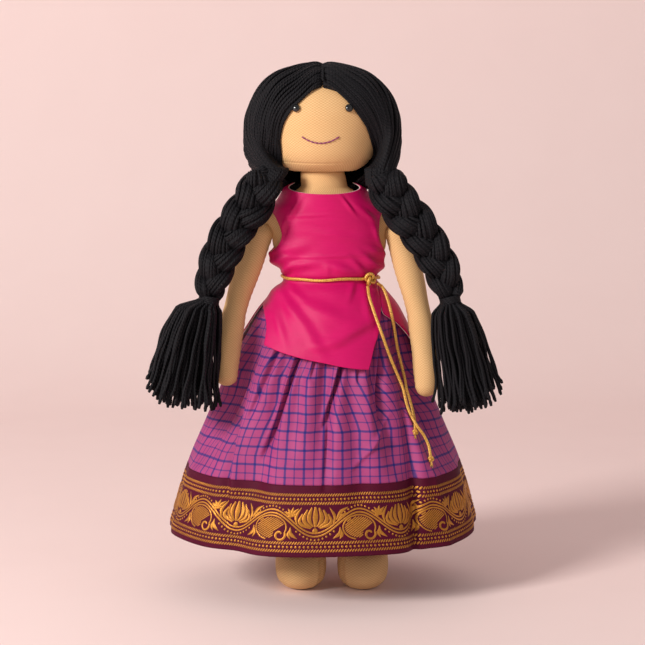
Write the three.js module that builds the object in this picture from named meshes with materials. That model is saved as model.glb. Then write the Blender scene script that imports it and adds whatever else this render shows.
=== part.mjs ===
// A stuffed cloth rag doll, about 42 cm tall, in a short sleeveless tunic and a gathered skirt.
// Millimetres, +Z up. The doll stands on its soles at z = 0 and faces -Y, so its own right is -X.
// Every stuffed piece is a sewn skin, open where it is sewn on, round a filling.
import * as THREE from 'three';

// Clearances and cloth
const GAP = 0.3;
const SKIN = 1.2;
const TUNIC_CLOTH = 0.8;
const LINING_CLOTH = 0.6;
const SKIRT_CLOTH = 1.2;
const EASE_UNDER_LINING = 0.8;
const TIP_PADDING = 4.4;

// Heights, each measured from the one before
const LEG_LENGTH = 158;
const HIP_TO_WAIST = 92;
const WAIST_TO_SHOULDER = 33;
const SHOULDER_TO_NECK = 39;
const NECK_TO_CHIN = 11;
const HEAD_HEIGHT = 79;

// Half widths and half depths of the stuffed body
const LEG_HALF_WIDTH = 16.5;
const LEG_HALF_DEPTH = 15.5;
const FOOT_HALF_WIDTH = 20.5;
const FOOT_HALF_LENGTH = 27;
const FOOT_HEIGHT = 34;
const LEG_SPACING = 50;
const WAIST_HALF_WIDTH = 30;
const WAIST_HALF_DEPTH = 20.5;
const CHEST_HALF_WIDTH = 43.5;
const CHEST_HALF_DEPTH = 22;
const NECK_RADIUS = 18.2;
const NECK_BALL_RADIUS = 21;
const ARM_RADIUS = 11;
const RIGHT_ARM_REACH_SIDE = 26;
const LEFT_ARM_REACH_SIDE = 21;
const ARM_REACH_FORWARD = 30;
const RIGHT_ARM_DROP = 113;
const LEFT_ARM_DROP = 119;
const HEAD_HALF_WIDTH = 49.5;
const HEAD_HALF_DEPTH = 38;
const BODY_LEAN = 7.5;

// Face
const EYE_RADIUS = 3.1;
const EYE_TO_HAIR = 4.1;
const EYE_ABOVE_CHIN = 50.5;
const SMILE_WIDTH = 29;
const SMILE_SAG = 5;
const SMILE_ABOVE_CHIN = 29;
const SMILE_THREAD = 0.9;

// Hair, plaits and tassels
const HAIR_THICKNESS = 6.4;
const PARTING_WIDTH = 1.2;
const BINDING_RADIUS = 6.5;
const STRAND_RADIUS = 3.9;
const PLAIT_SWAY = 10;
const PLAIT_DEPTH = 7;
const PLAIT_PERIOD = 60;
const TIE_RADIUS = 8.5;
const TIE_HEIGHT = 6;
const TASSEL_NECK = 5;
const TASSEL_LENGTH = 82;
const RIGHT_TASSEL_SPREAD = 0.285;
const LEFT_TASSEL_SPREAD = 0.2;
const LEFT_PLAIT_REACH = 1.26;
const TASSEL_DEPTH_SPREAD = 0.09;

// Skirt and waistband
const WAISTBAND_HEIGHT = 8;
const BAND_CLOTH = 0.8;
const ELASTIC_THICKNESS = 0.9;
const SKIRT_FALL = 196;
const HEM_HALF_WIDTH = 126;
const HEM_HALF_DEPTH = 101;
const BORDER_HEIGHT = 53;
const TUNIC_OVER_SKIRT = 2.4;

// Tunic
const TUNIC_FALL = 62;
const BACK_FALL = 64;
const CHEST_EASE = 3;
const NECKLINE_DIP = 8;

// Cord round the waist
const CORD_RADIUS = 1.25;
const CORD_KNOT_SIZE = 2.6;
const END_KNOT_SIZE = 1.5;
const END_KNOT_THREAD = 0.55;

// Heights above the ground
const HIP = LEG_LENGTH;
const WAIST = HIP + HIP_TO_WAIST;
const SHOULDER = WAIST + WAIST_TO_SHOULDER;
const NECK = SHOULDER + SHOULDER_TO_NECK;
const CHIN = NECK + NECK_TO_CHIN;
const HEAD_MIDDLE = CHIN + HEAD_HEIGHT / 2;
const BODY_BOTTOM = HIP + LEG_HALF_DEPTH + GAP;

const BODY_SIDES = 20;

const SKIN_COLOUR = 0xe0ae74;
const FILLING_COLOUR = 0xf4f1e8;
const YARN_COLOUR = 0x17161a;
const PINK_COLOUR = 0xd81763;
const LINING_COLOUR = 0xf0c8c8;
const CHECK_COLOUR = 0xa8478f;
const BORDER_COLOUR = 0x5a1a35;
const GOLD_COLOUR = 0xd0993c;

const doll = new THREE.Group();

// Adds one named piece with its own material.
function addPiece(name, geometry, color, roughness = 0.85, metalness = 0) {
  const material = new THREE.MeshStandardMaterial({ color, roughness, metalness });
  const mesh = new THREE.Mesh(geometry, material);
  mesh.name = name;
  doll.add(mesh);
}

// A closed body from points and triangles, turned so that its faces point out.
function bodyFrom(points, faces) {
  let volume = 0;
  for (const [a, b, c] of faces) {
    volume += points[a].dot(new THREE.Vector3().crossVectors(points[b], points[c]));
  }
  const turned = volume < 0 ? faces.map(([a, b, c]) => [a, c, b]) : faces;
  const geometry = new THREE.BufferGeometry();
  geometry.setFromPoints(points);
  geometry.setIndex(turned.flat());
  return geometry;
}

// Joins rings of one length into a closed body. A loop meets its own start again,
// and otherwise each end is closed by a fan to its middle.
function joinRings(rings, loop = false) {
  const count = rings[0].length;
  const points = rings.flat();
  const faces = [];
  const steps = loop ? rings.length : rings.length - 1;
  for (let row = 0; row < steps; row += 1) {
    const near = row * count;
    const far = ((row + 1) % rings.length) * count;
    for (let k = 0; k < count; k += 1) {
      const next = (k + 1) % count;
      faces.push([near + k, near + next, far + next], [near + k, far + next, far + k]);
    }
  }
  if (!loop) {
    for (const [row, flip] of [[0, true], [rings.length - 1, false]]) {
      const middle = new THREE.Vector3();
      rings[row].forEach((p) => middle.addScaledVector(p, 1 / count));
      points.push(middle);
      const hub = points.length - 1;
      for (let k = 0; k < count; k += 1) {
        const a = row * count + k;
        const b = row * count + ((k + 1) % count);
        faces.push(flip ? [hub, b, a] : [hub, a, b]);
      }
    }
  }
  return bodyFrom(points, faces);
}

// A level oval ring, its first point at the front and the next ones towards +X.
function oval(x, y, z, halfWidth, halfDepth, count) {
  const ring = [];
  for (let k = 0; k < count; k += 1) {
    const turn = (2 * Math.PI * k) / count;
    const front = y - halfDepth * Math.cos(turn);
    ring.push(new THREE.Vector3(x + halfWidth * Math.sin(turn), front, z));
  }
  return ring;
}

// A smooth curve through [place, value] pairs in rising order, flat beyond both ends.
function curveThrough(pairs) {
  const last = pairs.length - 1;
  const slope = (j) => {
    const before = pairs[Math.max(j - 1, 0)];
    const after = pairs[Math.min(j + 1, last)];
    return (after[1] - before[1]) / (after[0] - before[0]);
  };
  return (at) => {
    if (at <= pairs[0][0]) return pairs[0][1];
    if (at >= pairs[last][0]) return pairs[last][1];
    let i = 0;
    while (at > pairs[i + 1][0]) i += 1;
    const run = pairs[i + 1][0] - pairs[i][0];
    const t = (at - pairs[i][0]) / run;
    const rise = t * t * (3 - 2 * t);
    const lead = t * (1 - t) * (1 - t) * run * slope(i);
    const trail = t * t * (t - 1) * run * slope(i + 1);
    return pairs[i][1] + (pairs[i + 1][1] - pairs[i][1]) * rise + lead + trail;
  };
}

// The body stands a little towards its left below the neck.
const lean = curveThrough([
  [WAIST, BODY_LEAN], [WAIST + 0.3 * (CHIN - WAIST), 0.8 * BODY_LEAN],
  [WAIST + 0.6 * (CHIN - WAIST), 0.53 * BODY_LEAN], [WAIST + 0.9 * (CHIN - WAIST), 0.13 * BODY_LEAN],
  [CHIN, 0],
]);

// A stuffed form is a list of oval stations {x, y, z, a, b}, from its sewn end to its closed tip.
// The skin is the outer form joined at the sewn end to the same form drawn in by the cloth.
function stuffed(name, stations, around, fillingAround) {
  const shrink = (s, by) => ({ ...s, a: Math.max(s.a - by, 0.4), b: Math.max(s.b - by, 0.4) });
  const tip = stations[stations.length - 1];
  const towards = Math.sign(tip.z - stations[0].z);
  const ringOf = (s, count) => oval(s.x, s.y, s.z, s.a, s.b, count);
  const inside = (by) => {
    const kept = stations.filter((s) => Math.abs(tip.z - s.z) > TIP_PADDING);
    const end = { ...kept[kept.length - 1], z: tip.z - towards * by };
    end.a = 0.55 * end.a;
    end.b = 0.55 * end.b;
    return [...kept, end].map((s) => shrink(s, by));
  };
  const outer = stations.map((s) => ringOf(s, around));
  const inner = inside(SKIN).map((s) => ringOf(s, around)).reverse();
  addPiece(`${name}_skin`, joinRings([...inner, ...outer]), SKIN_COLOUR, 0.9);
  const packed = inside(SKIN + GAP + 0.5);
  packed[0].z += towards * GAP;
  addPiece(`${name}_filling`, joinRings(packed.map((s) => ringOf(s, fillingAround))), FILLING_COLOUR, 1);
}

// Torso with its neck
const chestRise = SHOULDER - WAIST;
const torsoHalfWidth = curveThrough([
  [BODY_BOTTOM, 0.8 * WAIST_HALF_WIDTH], [BODY_BOTTOM + 8, 1.03 * WAIST_HALF_WIDTH],
  [HIP + 0.35 * HIP_TO_WAIST, 1.13 * WAIST_HALF_WIDTH], [HIP + 0.65 * HIP_TO_WAIST, 1.1 * WAIST_HALF_WIDTH],
  [WAIST - WAISTBAND_HEIGHT, WAIST_HALF_WIDTH], [WAIST, WAIST_HALF_WIDTH],
  [WAIST + 0.3 * chestRise, 0.83 * CHEST_HALF_WIDTH], [WAIST + 0.7 * chestRise, 0.93 * CHEST_HALF_WIDTH],
  [SHOULDER, CHEST_HALF_WIDTH], [SHOULDER + 0.2 * SHOULDER_TO_NECK, CHEST_HALF_WIDTH],
  [SHOULDER + 0.5 * SHOULDER_TO_NECK, 0.93 * CHEST_HALF_WIDTH],
  [SHOULDER + 0.78 * SHOULDER_TO_NECK, NECK_RADIUS + 0.48 * (CHEST_HALF_WIDTH - NECK_RADIUS)],
  [NECK, NECK_RADIUS + 0.5],
]);
const torsoHalfDepth = curveThrough([
  [BODY_BOTTOM, 0.78 * WAIST_HALF_DEPTH], [BODY_BOTTOM + 8, 1.05 * WAIST_HALF_DEPTH],
  [HIP + 0.4 * HIP_TO_WAIST, 1.1 * WAIST_HALF_DEPTH], [WAIST - WAISTBAND_HEIGHT, WAIST_HALF_DEPTH],
  [WAIST, WAIST_HALF_DEPTH], [WAIST + 0.6 * chestRise, CHEST_HALF_DEPTH],
  [SHOULDER + 0.4 * SHOULDER_TO_NECK, 0.88 * CHEST_HALF_DEPTH], [NECK, NECK_RADIUS - 1],
]);

function torsoStations() {
  const levels = [BODY_BOTTOM, BODY_BOTTOM + 4, BODY_BOTTOM + 12];
  levels.push(HIP + 0.45 * HIP_TO_WAIST, WAIST - WAISTBAND_HEIGHT, WAIST);
  levels.push(WAIST + 0.35 * chestRise, WAIST + 0.7 * chestRise, SHOULDER);
  for (const share of [0.2, 0.5, 0.78]) levels.push(SHOULDER + share * SHOULDER_TO_NECK);
  levels.push(NECK);
  const rows = levels.map((z) => ({ x: lean(z), y: 0, z, a: torsoHalfWidth(z), b: torsoHalfDepth(z) }));
  for (const angle of [58, 40, 22, 6]) {
    const turn = THREE.MathUtils.degToRad(angle);
    const z = NECK + NECK_BALL_RADIUS * Math.cos(turn);
    const radius = Math.min(NECK_BALL_RADIUS * Math.sin(turn), NECK_RADIUS);
    rows.push({ x: lean(z), y: 0, z, a: radius, b: radius });
  }
  return rows;
}
stuffed('torso', torsoStations(), BODY_SIDES, 10);

// Head: level ovals whose size follows a power curve, fuller at the jaw than at the crown
const JAW_POWER = 3.5;
const CROWN_POWER = 2.1;
const headScale = (share) => {
  const power = share < 0 ? JAW_POWER : CROWN_POWER;
  return (1 - Math.min(Math.abs(share), 1) ** power) ** (1 / power);
};
const HEAD_HALF_HEIGHT = HEAD_HEIGHT / 2;
const CHIN_SHARE = -0.967;
const HEAD_ROWS = [CHIN_SHARE, -0.93, -0.85, -0.7, -0.4, -0.05, 0.3, 0.6, 0.82, 0.95, 0.995];

// The cheeks draw in towards the jaw, behind the hair: a share of the power curve's width
const cheekShare = curveThrough([
  [CHIN_SHARE, 0.93], [-0.9, 0.84], [-0.82, 0.815], [-0.65, 0.8],
  [-0.4, 0.82], [0, 0.92], [0.3, 0.975], [0.6, 1],
]);
const faceHalfWidth = (share) => HEAD_HALF_WIDTH * (share > 0.6 ? 1 : cheekShare(share));

// How far the hair's form reaches from the head's middle along a direction.
function headReach(direction) {
  const power = direction.z < 0 ? JAW_POWER : CROWN_POWER;
  const across = Math.hypot(direction.x / HEAD_HALF_WIDTH, direction.y / HEAD_HALF_DEPTH);
  const up = Math.abs(direction.z) / HEAD_HALF_HEIGHT;
  return (across ** power + up ** power) ** (-1 / power);
}

// How thick the hair lies from the parting (0) to its binding (1): full low at the sides
const hairFullness = curveThrough([
  [0, HAIR_THICKNESS], [0.2, 6.6], [0.35, 8], [0.5, 8.2], [0.62, 9], [0.8, 11.2], [1, 9.5],
]);

function headRing(share, inset, around) {
  const scale = headScale(share);
  const z = HEAD_MIDDLE + share * (HEAD_HALF_HEIGHT - inset);
  return oval(0, 0, z, faceHalfWidth(share) * scale - inset, HEAD_HALF_DEPTH * scale - inset, around);
}

// The ring round the neck lies just outside the neck's ball, so that the head can nod on it.
function neckHole(height, outside, around) {
  const radius = Math.sqrt((NECK_BALL_RADIUS + outside) ** 2 - (height - NECK) ** 2);
  return oval(0, 0, height, radius, radius, around);
}

function addHead() {
  const around = BODY_SIDES;
  const under = HEAD_MIDDLE + CHIN_SHARE * HEAD_HALF_HEIGHT;
  const outer = HEAD_ROWS.map((share) => headRing(share, 0, around));
  const inner = [-0.88, -0.4, 0.3, 0.82, 0.95].map((share) => headRing(share, SKIN, around)).reverse();
  const hole = [under + SKIN, under].map((z) => neckHole(z, GAP + 0.6, around));
  addPiece('head_skin', joinRings([...inner, ...hole, ...outer]), SKIN_COLOUR, 0.9);
  const packing = [-0.88, -0.4, 0.3, 0.82, 0.94].map((share) => headRing(share, SKIN + GAP + 1.6, 12));
  const socket = [0.15, 0.5, 0.85].map((share) => {
    const height = NECK + (NECK_BALL_RADIUS + 1.6) * Math.cos(share);
    return neckHole(height, 1.6, 12);
  });
  const rim = neckHole(under + SKIN + GAP + 0.4, 1.6, 12);
  addPiece('head_filling', joinRings([...socket, rim, ...packing]), FILLING_COLOUR, 1);
}
addHead();

// A point on the face at a sideways place and a height above the chin, pushed out by some amount.
function facePoint(x, aboveChin, out) {
  const share = (CHIN + aboveChin - HEAD_MIDDLE) / HEAD_HALF_HEIGHT;
  const scale = headScale(share);
  const y = -HEAD_HALF_DEPTH * Math.sqrt(scale ** 2 - (x / faceHalfWidth(share)) ** 2);
  return new THREE.Vector3(x, y - out, CHIN + aboveChin);
}

// A round tube through points, closed at both ends.
function tube(points, radius, halfSides, steps) {
  const section = new THREE.Shape();
  section.absarc(0, 0, radius, 0, 2 * Math.PI, false);
  const path = new THREE.CatmullRomCurve3(points, false, 'centripetal');
  const options = { steps, curveSegments: halfSides, extrudePath: path, bevelEnabled: false };
  return new THREE.ExtrudeGeometry(section, options);
}

const smileRoute = [-1, -0.5, 0, 0.5, 1].map((share) => {
  const height = SMILE_ABOVE_CHIN - SMILE_SAG * (1 - share ** 2);
  return facePoint((share * SMILE_WIDTH) / 2 - 1.5, height, SMILE_THREAD / 2 + GAP + 0.1);
});
addPiece('smile_stitch', tube(smileRoute, SMILE_THREAD / 2, 3, 8), 0x8e3c63, 0.8);

// Hair: on each side the yarn runs from the parting to the place where it is bound by the jaw
const PARTING_FRONT = THREE.MathUtils.degToRad(46);
const PARTING_BACK = THREE.MathUtils.degToRad(-131);
const HAIR_END = 0.946;
const bindingPlace = (side) => new THREE.Vector3(side * (HEAD_HALF_WIDTH - 3), -26, CHIN - 1);

function hairPoint(side, front, along, outer) {
  const angle = THREE.MathUtils.lerp(PARTING_FRONT, PARTING_BACK, front);
  const from = new THREE.Vector3(0, -Math.sin(angle), Math.cos(angle));
  const to = bindingPlace(side).sub(new THREE.Vector3(0, 0, HEAD_MIDDLE)).normalize();
  const sweep = from.angleTo(to);
  const share = along * HAIR_END;
  const direction = from.multiplyScalar(Math.sin((1 - share) * sweep));
  direction.addScaledVector(to, Math.sin(share * sweep)).divideScalar(Math.sin(sweep));
  direction.x += side * 0.28 * Math.sin(Math.PI * along) * (1 - front) ** 2;
  direction.normalize();
  const edge = 1 - Math.abs(2 * front - 1) ** 5;
  const middle = hairFullness(along);
  const base = headReach(direction) + 1.8 + 3.4 * Math.max(along - 0.75, 0) / 0.25;
  const thickness = outer ? 2.2 + (middle - 2.2) * edge : 0;
  const point = direction.multiplyScalar(base + thickness);
  point.x += side * (PARTING_WIDTH / 2 + GAP) * (1 - along);
  point.z += HEAD_MIDDLE;
  return point;
}

// A cloth or hair panel: a grid of outer points over a grid of inner points, with walls at its edge.
function panel(columns, rows, pointAt) {
  const points = [];
  for (const outer of [true, false]) {
    for (let row = 0; row <= rows; row += 1) {
      for (let column = 0; column <= columns; column += 1) {
        points.push(pointAt(column / columns, row / rows, outer));
      }
    }
  }
  const width = columns + 1;
  const layer = width * (rows + 1);
  const at = (column, row, side) => side * layer + row * width + column;
  const faces = [];
  const quad = (a, b, c, d) => faces.push([a, b, c], [a, c, d]);
  for (let row = 0; row < rows; row += 1) {
    for (let column = 0; column < columns; column += 1) {
      const [c, r] = [column, row];
      quad(at(c, r, 0), at(c + 1, r, 0), at(c + 1, r + 1, 0), at(c, r + 1, 0));
      quad(at(c, r, 1), at(c, r + 1, 1), at(c + 1, r + 1, 1), at(c + 1, r, 1));
    }
  }
  for (let c = 0; c < columns; c += 1) {
    quad(at(c, 0, 0), at(c, 0, 1), at(c + 1, 0, 1), at(c + 1, 0, 0));
    quad(at(c, rows, 0), at(c + 1, rows, 0), at(c + 1, rows, 1), at(c, rows, 1));
  }
  for (let r = 0; r < rows; r += 1) {
    quad(at(0, r, 0), at(0, r + 1, 0), at(0, r + 1, 1), at(0, r, 1));
    quad(at(columns, r, 0), at(columns, r, 1), at(columns, r + 1, 1), at(columns, r + 1, 0));
  }
  return bodyFrom(points, faces);
}

for (const [name, side] of [['hair_right', -1], ['hair_left', 1]]) {
  addPiece(name, panel(10, 8, (u, v, outer) => hairPoint(side, u, v, outer)), YARN_COLOUR, 0.8);
}

// Half width of the face between the two halves of the hair, at a height above the chin
function openingHalfWidth(aboveChin) {
  for (let step = 0; step < 200; step += 1) {
    const edge = hairPoint(1, 0, step / 200, true);
    if (edge.z < CHIN + aboveChin) return edge.x;
  }
  return 0;
}

// Bead eyes, sewn flat against the face beside the hair
const eyeOffset = openingHalfWidth(EYE_ABOVE_CHIN) - EYE_TO_HAIR - EYE_RADIUS;
for (const [name, side] of [['right_eye_bead', -1], ['left_eye_bead', 1]]) {
  const seat = facePoint(side * eyeOffset, EYE_ABOVE_CHIN, 0);
  const outward = new THREE.Vector3(seat.x / HEAD_HALF_WIDTH ** 2, seat.y / HEAD_HALF_DEPTH ** 2, 0);
  outward.z = (seat.z - HEAD_MIDDLE) / HEAD_HALF_HEIGHT ** 2;
  outward.normalize();
  const bead = new THREE.SphereGeometry(EYE_RADIUS, 10, 6);
  bead.scale(1, 1, 0.7);
  bead.applyQuaternion(new THREE.Quaternion().setFromUnitVectors(new THREE.Vector3(0, 0, 1), outward));
  const place = seat.clone().addScaledVector(outward, 0.7 * EYE_RADIUS + GAP);
  bead.translate(place.x, place.y, place.z);
  addPiece(name, bead, 0x101012, 0.15);
}

// The line of stitches between the two halves of the hair
const partingRings = [];
for (let k = 0; k <= 12; k += 1) {
  const angle = THREE.MathUtils.lerp(PARTING_FRONT - 0.06, PARTING_BACK + 0.06, k / 12);
  const direction = new THREE.Vector3(0, -Math.sin(angle), Math.cos(angle));
  const base = headReach(direction) + 0.9;
  const ring = [];
  for (const [x, r] of [[-1, 0], [1, 0], [1, HAIR_THICKNESS * 0.55], [-1, HAIR_THICKNESS * 0.55]]) {
    const p = direction.clone().multiplyScalar(base + r);
    ring.push(new THREE.Vector3((x * PARTING_WIDTH) / 2, p.y, p.z + HEAD_MIDDLE));
  }
  partingRings.push(ring);
}
addPiece('parting_seam', joinRings(partingRings), YARN_COLOUR, 0.8);

// Rings square to a path, for plaits and tassels: each ring is at a point with two side directions.
function ringAcross(middle, sideways, upward, radiusAt, count) {
  const ring = [];
  for (let k = 0; k < count; k += 1) {
    const turn = (2 * Math.PI * k) / count;
    const [a, b] = radiusAt(turn);
    ring.push(middle.clone().addScaledVector(sideways, a).addScaledVector(upward, b));
  }
  return ring;
}

// The middle line of each plait, as steps out, forward and down from its binding
const PLAIT_STEPS = [
  [0, 0, 0], [3, -1, -9], [11, -3, -24], [22, -5, -41], [32, -7, -61], [39, -10, -80], [42, -13, -97],
];

function plaitCurve(side) {
  const start = bindingPlace(side);
  const reach = side > 0 ? LEFT_PLAIT_REACH : -1;
  const place = ([out, forward, down]) => new THREE.Vector3(reach * out, forward, down).add(start);
  const route = PLAIT_STEPS.map(place);
  return new THREE.CatmullRomCurve3(route, false, 'centripetal');
}

// The frame of a plait at a share of its length: place, sideways and depth directions.
function plaitFrame(curve, share) {
  const middle = curve.getPointAt(share);
  const along = curve.getTangentAt(share);
  const sideways = new THREE.Vector3().crossVectors(new THREE.Vector3(0, 1, 0), along).normalize();
  const depth = new THREE.Vector3().crossVectors(along, sideways);
  return { middle, along, sideways, depth };
}

const plaitFullness = curveThrough([[0, 0.55], [0.16, 0.88], [0.4, 1], [0.8, 1], [1, 0.62]]);

function addPlait(word, side) {
  const curve = plaitCurve(side);
  const length = curve.getLength();
  const start = (BINDING_RADIUS + 0.6) / length;
  const end = 1 - (TIE_HEIGHT / 2 + 2) / length;
  const steps = 18;
  ['a', 'b', 'c'].forEach((letter, index) => {
    const middles = [];
    const sizes = [];
    for (let k = 0; k <= steps; k += 1) {
      const share = THREE.MathUtils.lerp(start, end, k / steps);
      const { middle, sideways, depth } = plaitFrame(curve, share);
      const fullness = plaitFullness(share);
      const turn = (2 * Math.PI * share * length) / PLAIT_PERIOD + (2 * Math.PI * index) / 3;
      const over = Math.tanh(0.8 * Math.sin(2 * turn)) / Math.tanh(0.8);
      middles.push(middle.clone()
        .addScaledVector(sideways, PLAIT_SWAY * fullness * Math.sin(turn))
        .addScaledVector(depth, PLAIT_DEPTH * fullness * over));
      sizes.push(STRAND_RADIUS * fullness);
    }
    const rings = middles.map((middle, k) => {
      const ahead = middles[Math.min(k + 1, steps)];
      const behind = middles[Math.max(k - 1, 0)];
      const along = ahead.clone().sub(behind).normalize();
      const sideways = new THREE.Vector3().crossVectors(new THREE.Vector3(0, 1, 0), along).normalize();
      const depth = new THREE.Vector3().crossVectors(along, sideways);
      const size = sizes[k] * (k === 0 || k === steps ? 0.6 : 1);
      return ringAcross(middle, sideways, depth, (t) => [size * Math.cos(t), size * Math.sin(t)], 6);
    });
    addPiece(`${word}_plait_strand_${letter}`, joinRings(rings), YARN_COLOUR, 0.8);
  });

  const binding = new THREE.SphereGeometry(BINDING_RADIUS, 10, 6);
  const root = bindingPlace(side);
  binding.translate(root.x, root.y, root.z);
  addPiece(`${word}_hair_binding`, binding, YARN_COLOUR, 0.8);

  const { middle, along, sideways, depth } = plaitFrame(curve, 1);
  const bore = TASSEL_NECK + GAP + 0.1;
  const rim = TIE_RADIUS - 1;
  const bandSection = [[bore, -1], [rim, -1], [TIE_RADIUS, 0], [rim, 1], [bore, 1]];
  const bandRings = bandSection.map(([radius, share]) => ringAcross(
    middle.clone().addScaledVector(along, (share * TIE_HEIGHT) / 2),
    sideways, depth, (t) => [radius * Math.cos(t), radius * Math.sin(t)], 14,
  ));
  addPiece(`${word}_plait_tie`, joinRings(bandRings, true), YARN_COLOUR, 0.8);
  addPiece(`${word}_tassel`, tasselBody(side, middle, along, sideways, depth), YARN_COLOUR, 0.85);
}

// A tassel: its neck runs through the tie, and below it the yarn fans out in soft lobes.
function tasselBody(side, middle, along, sideways, depth) {
  const count = 28;
  const rings = [];
  const collar = (reach, radius) => ringAcross(
    middle.clone().addScaledVector(along, reach), sideways, depth,
    (t) => [radius * Math.cos(t), radius * Math.sin(t)], count,
  );
  rings.push(collar(-TIE_HEIGHT / 2 - 0.4, TASSEL_NECK), collar(TIE_HEIGHT / 2 + GAP, TASSEL_NECK));
  const top = middle.clone().addScaledVector(along, TIE_HEIGHT / 2 + GAP + 1);
  const spread = side > 0 ? LEFT_TASSEL_SPREAD : -RIGHT_TASSEL_SPREAD;
  for (const share of [0, 0.1, 0.3, 0.55, 0.8, 1]) {
    const ring = [];
    for (let k = 0; k < count; k += 1) {
      const turn = (2 * Math.PI * k) / count;
      const lobe = 1 + 0.09 * (k % 2 === 0 ? 1 : -1) * Math.min(4 * share, 1);
      const outAngle = spread * (1 + lobe * Math.cos(turn) * 0.9);
      const forwardAngle = 0.14 + TASSEL_DEPTH_SPREAD * lobe * Math.sin(turn);
      const reach = TASSEL_LENGTH * share;
      const bow = 1.15 - 0.2 * share;
      const waist = 8.6 * lobe * (0.6 + 0.4 * Math.min(share * 10, 1));
      ring.push(new THREE.Vector3(
        top.x + reach * Math.sin(outAngle * bow) + side * waist * Math.cos(turn),
        top.y - reach * Math.sin(forwardAngle) - waist * Math.sin(turn),
        top.z - reach * Math.cos(outAngle * bow) * Math.cos(forwardAngle),
      ));
    }
    rings.push(ring);
  }
  return joinRings(rings);
}
addPlait('right', -1);
addPlait('left', 1);

// Arms: a round end at the shoulder, then a gentle swell down to a mitten tip
function addArm(word, side, drop, reachSide) {
  const clear = CHEST_HALF_WIDTH + GAP + ARM_RADIUS + 0.2;
  const pivot = new THREE.Vector3(lean(SHOULDER) + side * clear, 0, SHOULDER);
  const width = curveThrough([[0, 1], [0.25, 1], [0.5, 0.88], [0.72, 0.9], [0.88, 0.92], [1, 0.8]]);
  const rows = [];
  for (const angle of [16, 42, 68]) {
    const turn = THREE.MathUtils.degToRad(angle);
    const radius = ARM_RADIUS * Math.sin(turn);
    rows.push({ x: pivot.x, y: 0, z: pivot.z + ARM_RADIUS * Math.cos(turn), a: radius, b: radius });
  }
  const straight = drop - ARM_RADIUS * 0.8;
  for (const share of [0, 0.18, 0.38, 0.58, 0.76, 0.9, 1]) {
    const size = ARM_RADIUS * width(share);
    const y = -ARM_REACH_FORWARD * share ** 1.2;
    const x = pivot.x + side * reachSide * Math.sin((share * Math.PI) / 2);
    const b = 0.86 * size + 0.14 * ARM_RADIUS * (1 - share);
    rows.push({ x, y, z: pivot.z - straight * share, a: size, b });
  }
  const hand = rows[rows.length - 1];
  for (const angle of [35, 65, 84]) {
    const turn = THREE.MathUtils.degToRad(angle);
    const shrink = Math.cos(turn);
    const z = hand.z - ARM_RADIUS * 0.8 * Math.sin(turn);
    rows.push({ ...hand, z, a: hand.a * shrink, b: hand.b * shrink });
  }
  stuffed(`${word}_arm`, rows, 12, 8);
}
addArm('right', -1, RIGHT_ARM_DROP, RIGHT_ARM_REACH_SIDE);
addArm('left', 1, LEFT_ARM_DROP, LEFT_ARM_REACH_SIDE);

// Legs: a round end at the hip, a straight stuffed tube, and a foot that points forward, flat beneath
function addLeg(word, side) {
  const x = lean(HIP) + (side * LEG_SPACING) / 2;
  const rows = [];
  for (const angle of [16, 42, 68, 90]) {
    const turn = THREE.MathUtils.degToRad(angle);
    const shrink = Math.sin(turn);
    const z = HIP + LEG_HALF_DEPTH * Math.cos(turn);
    rows.push({ x, y: 0, z, a: LEG_HALF_WIDTH * shrink, b: LEG_HALF_DEPTH * shrink });
  }
  rows.push({ x, y: 0, z: (HIP + FOOT_HEIGHT) / 2, a: LEG_HALF_WIDTH, b: LEG_HALF_DEPTH });
  rows.push({ x, y: 0, z: FOOT_HEIGHT + 16, a: 0.95 * LEG_HALF_WIDTH, b: LEG_HALF_DEPTH });
  const heel = LEG_HALF_DEPTH + 1;
  const footRow = (share, wide, long) => {
    const length = FOOT_HALF_LENGTH * long;
    const y = heel * (0.6 + 0.4 * long) - length;
    return { x, y, z: FOOT_HEIGHT * share, a: FOOT_HALF_WIDTH * wide, b: length };
  };
  rows.push(footRow(1, 0.9, 0.62), footRow(0.78, 0.97, 0.86), footRow(0.48, 1, 1));
  rows.push(footRow(0.22, 0.92, 0.96), footRow(0.07, 0.74, 0.83), footRow(0, 0.54, 0.66));
  stuffed(`${word}_leg`, rows, 14, 9);
}
addLeg('right', -1);
addLeg('left', 1);

// Skirt: its half width and half depth grow from the waistband to the hem, quickly at first
const BAND_BOTTOM = WAIST - WAISTBAND_HEIGHT;
const HEM = BAND_BOTTOM - GAP - SKIRT_FALL;
const BAND_WALL = GAP + BAND_CLOTH + GAP + ELASTIC_THICKNESS + GAP + BAND_CLOTH;
const skirtFlare = curveThrough([
  [0, 0], [0.02, 0.08], [0.05, 0.15], [0.085, 0.207], [0.146, 0.283], [0.2125, 0.359],
  [0.3145, 0.465], [0.452, 0.592], [0.549, 0.685], [0.712, 0.83], [0.977, 0.995], [1, 1],
]);
const skirtDrift = curveThrough([
  [HEM, 0], [HEM + 0.55 * SKIRT_FALL, 0.2 * BODY_LEAN], [HEM + 0.7 * SKIRT_FALL, 0.33 * BODY_LEAN],
  [HEM + 0.86 * SKIRT_FALL, 0.6 * BODY_LEAN], [WAIST, BODY_LEAN],
]);
const flareFrom = (waist, hem) => (t) => THREE.MathUtils.lerp(waist + BAND_WALL, hem, skirtFlare(t));
const skirtHalfWidth = flareFrom(WAIST_HALF_WIDTH, HEM_HALF_WIDTH);
const skirtHalfDepth = flareFrom(WAIST_HALF_DEPTH, HEM_HALF_DEPTH);

const SKIRT_SIDES = 56;

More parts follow.
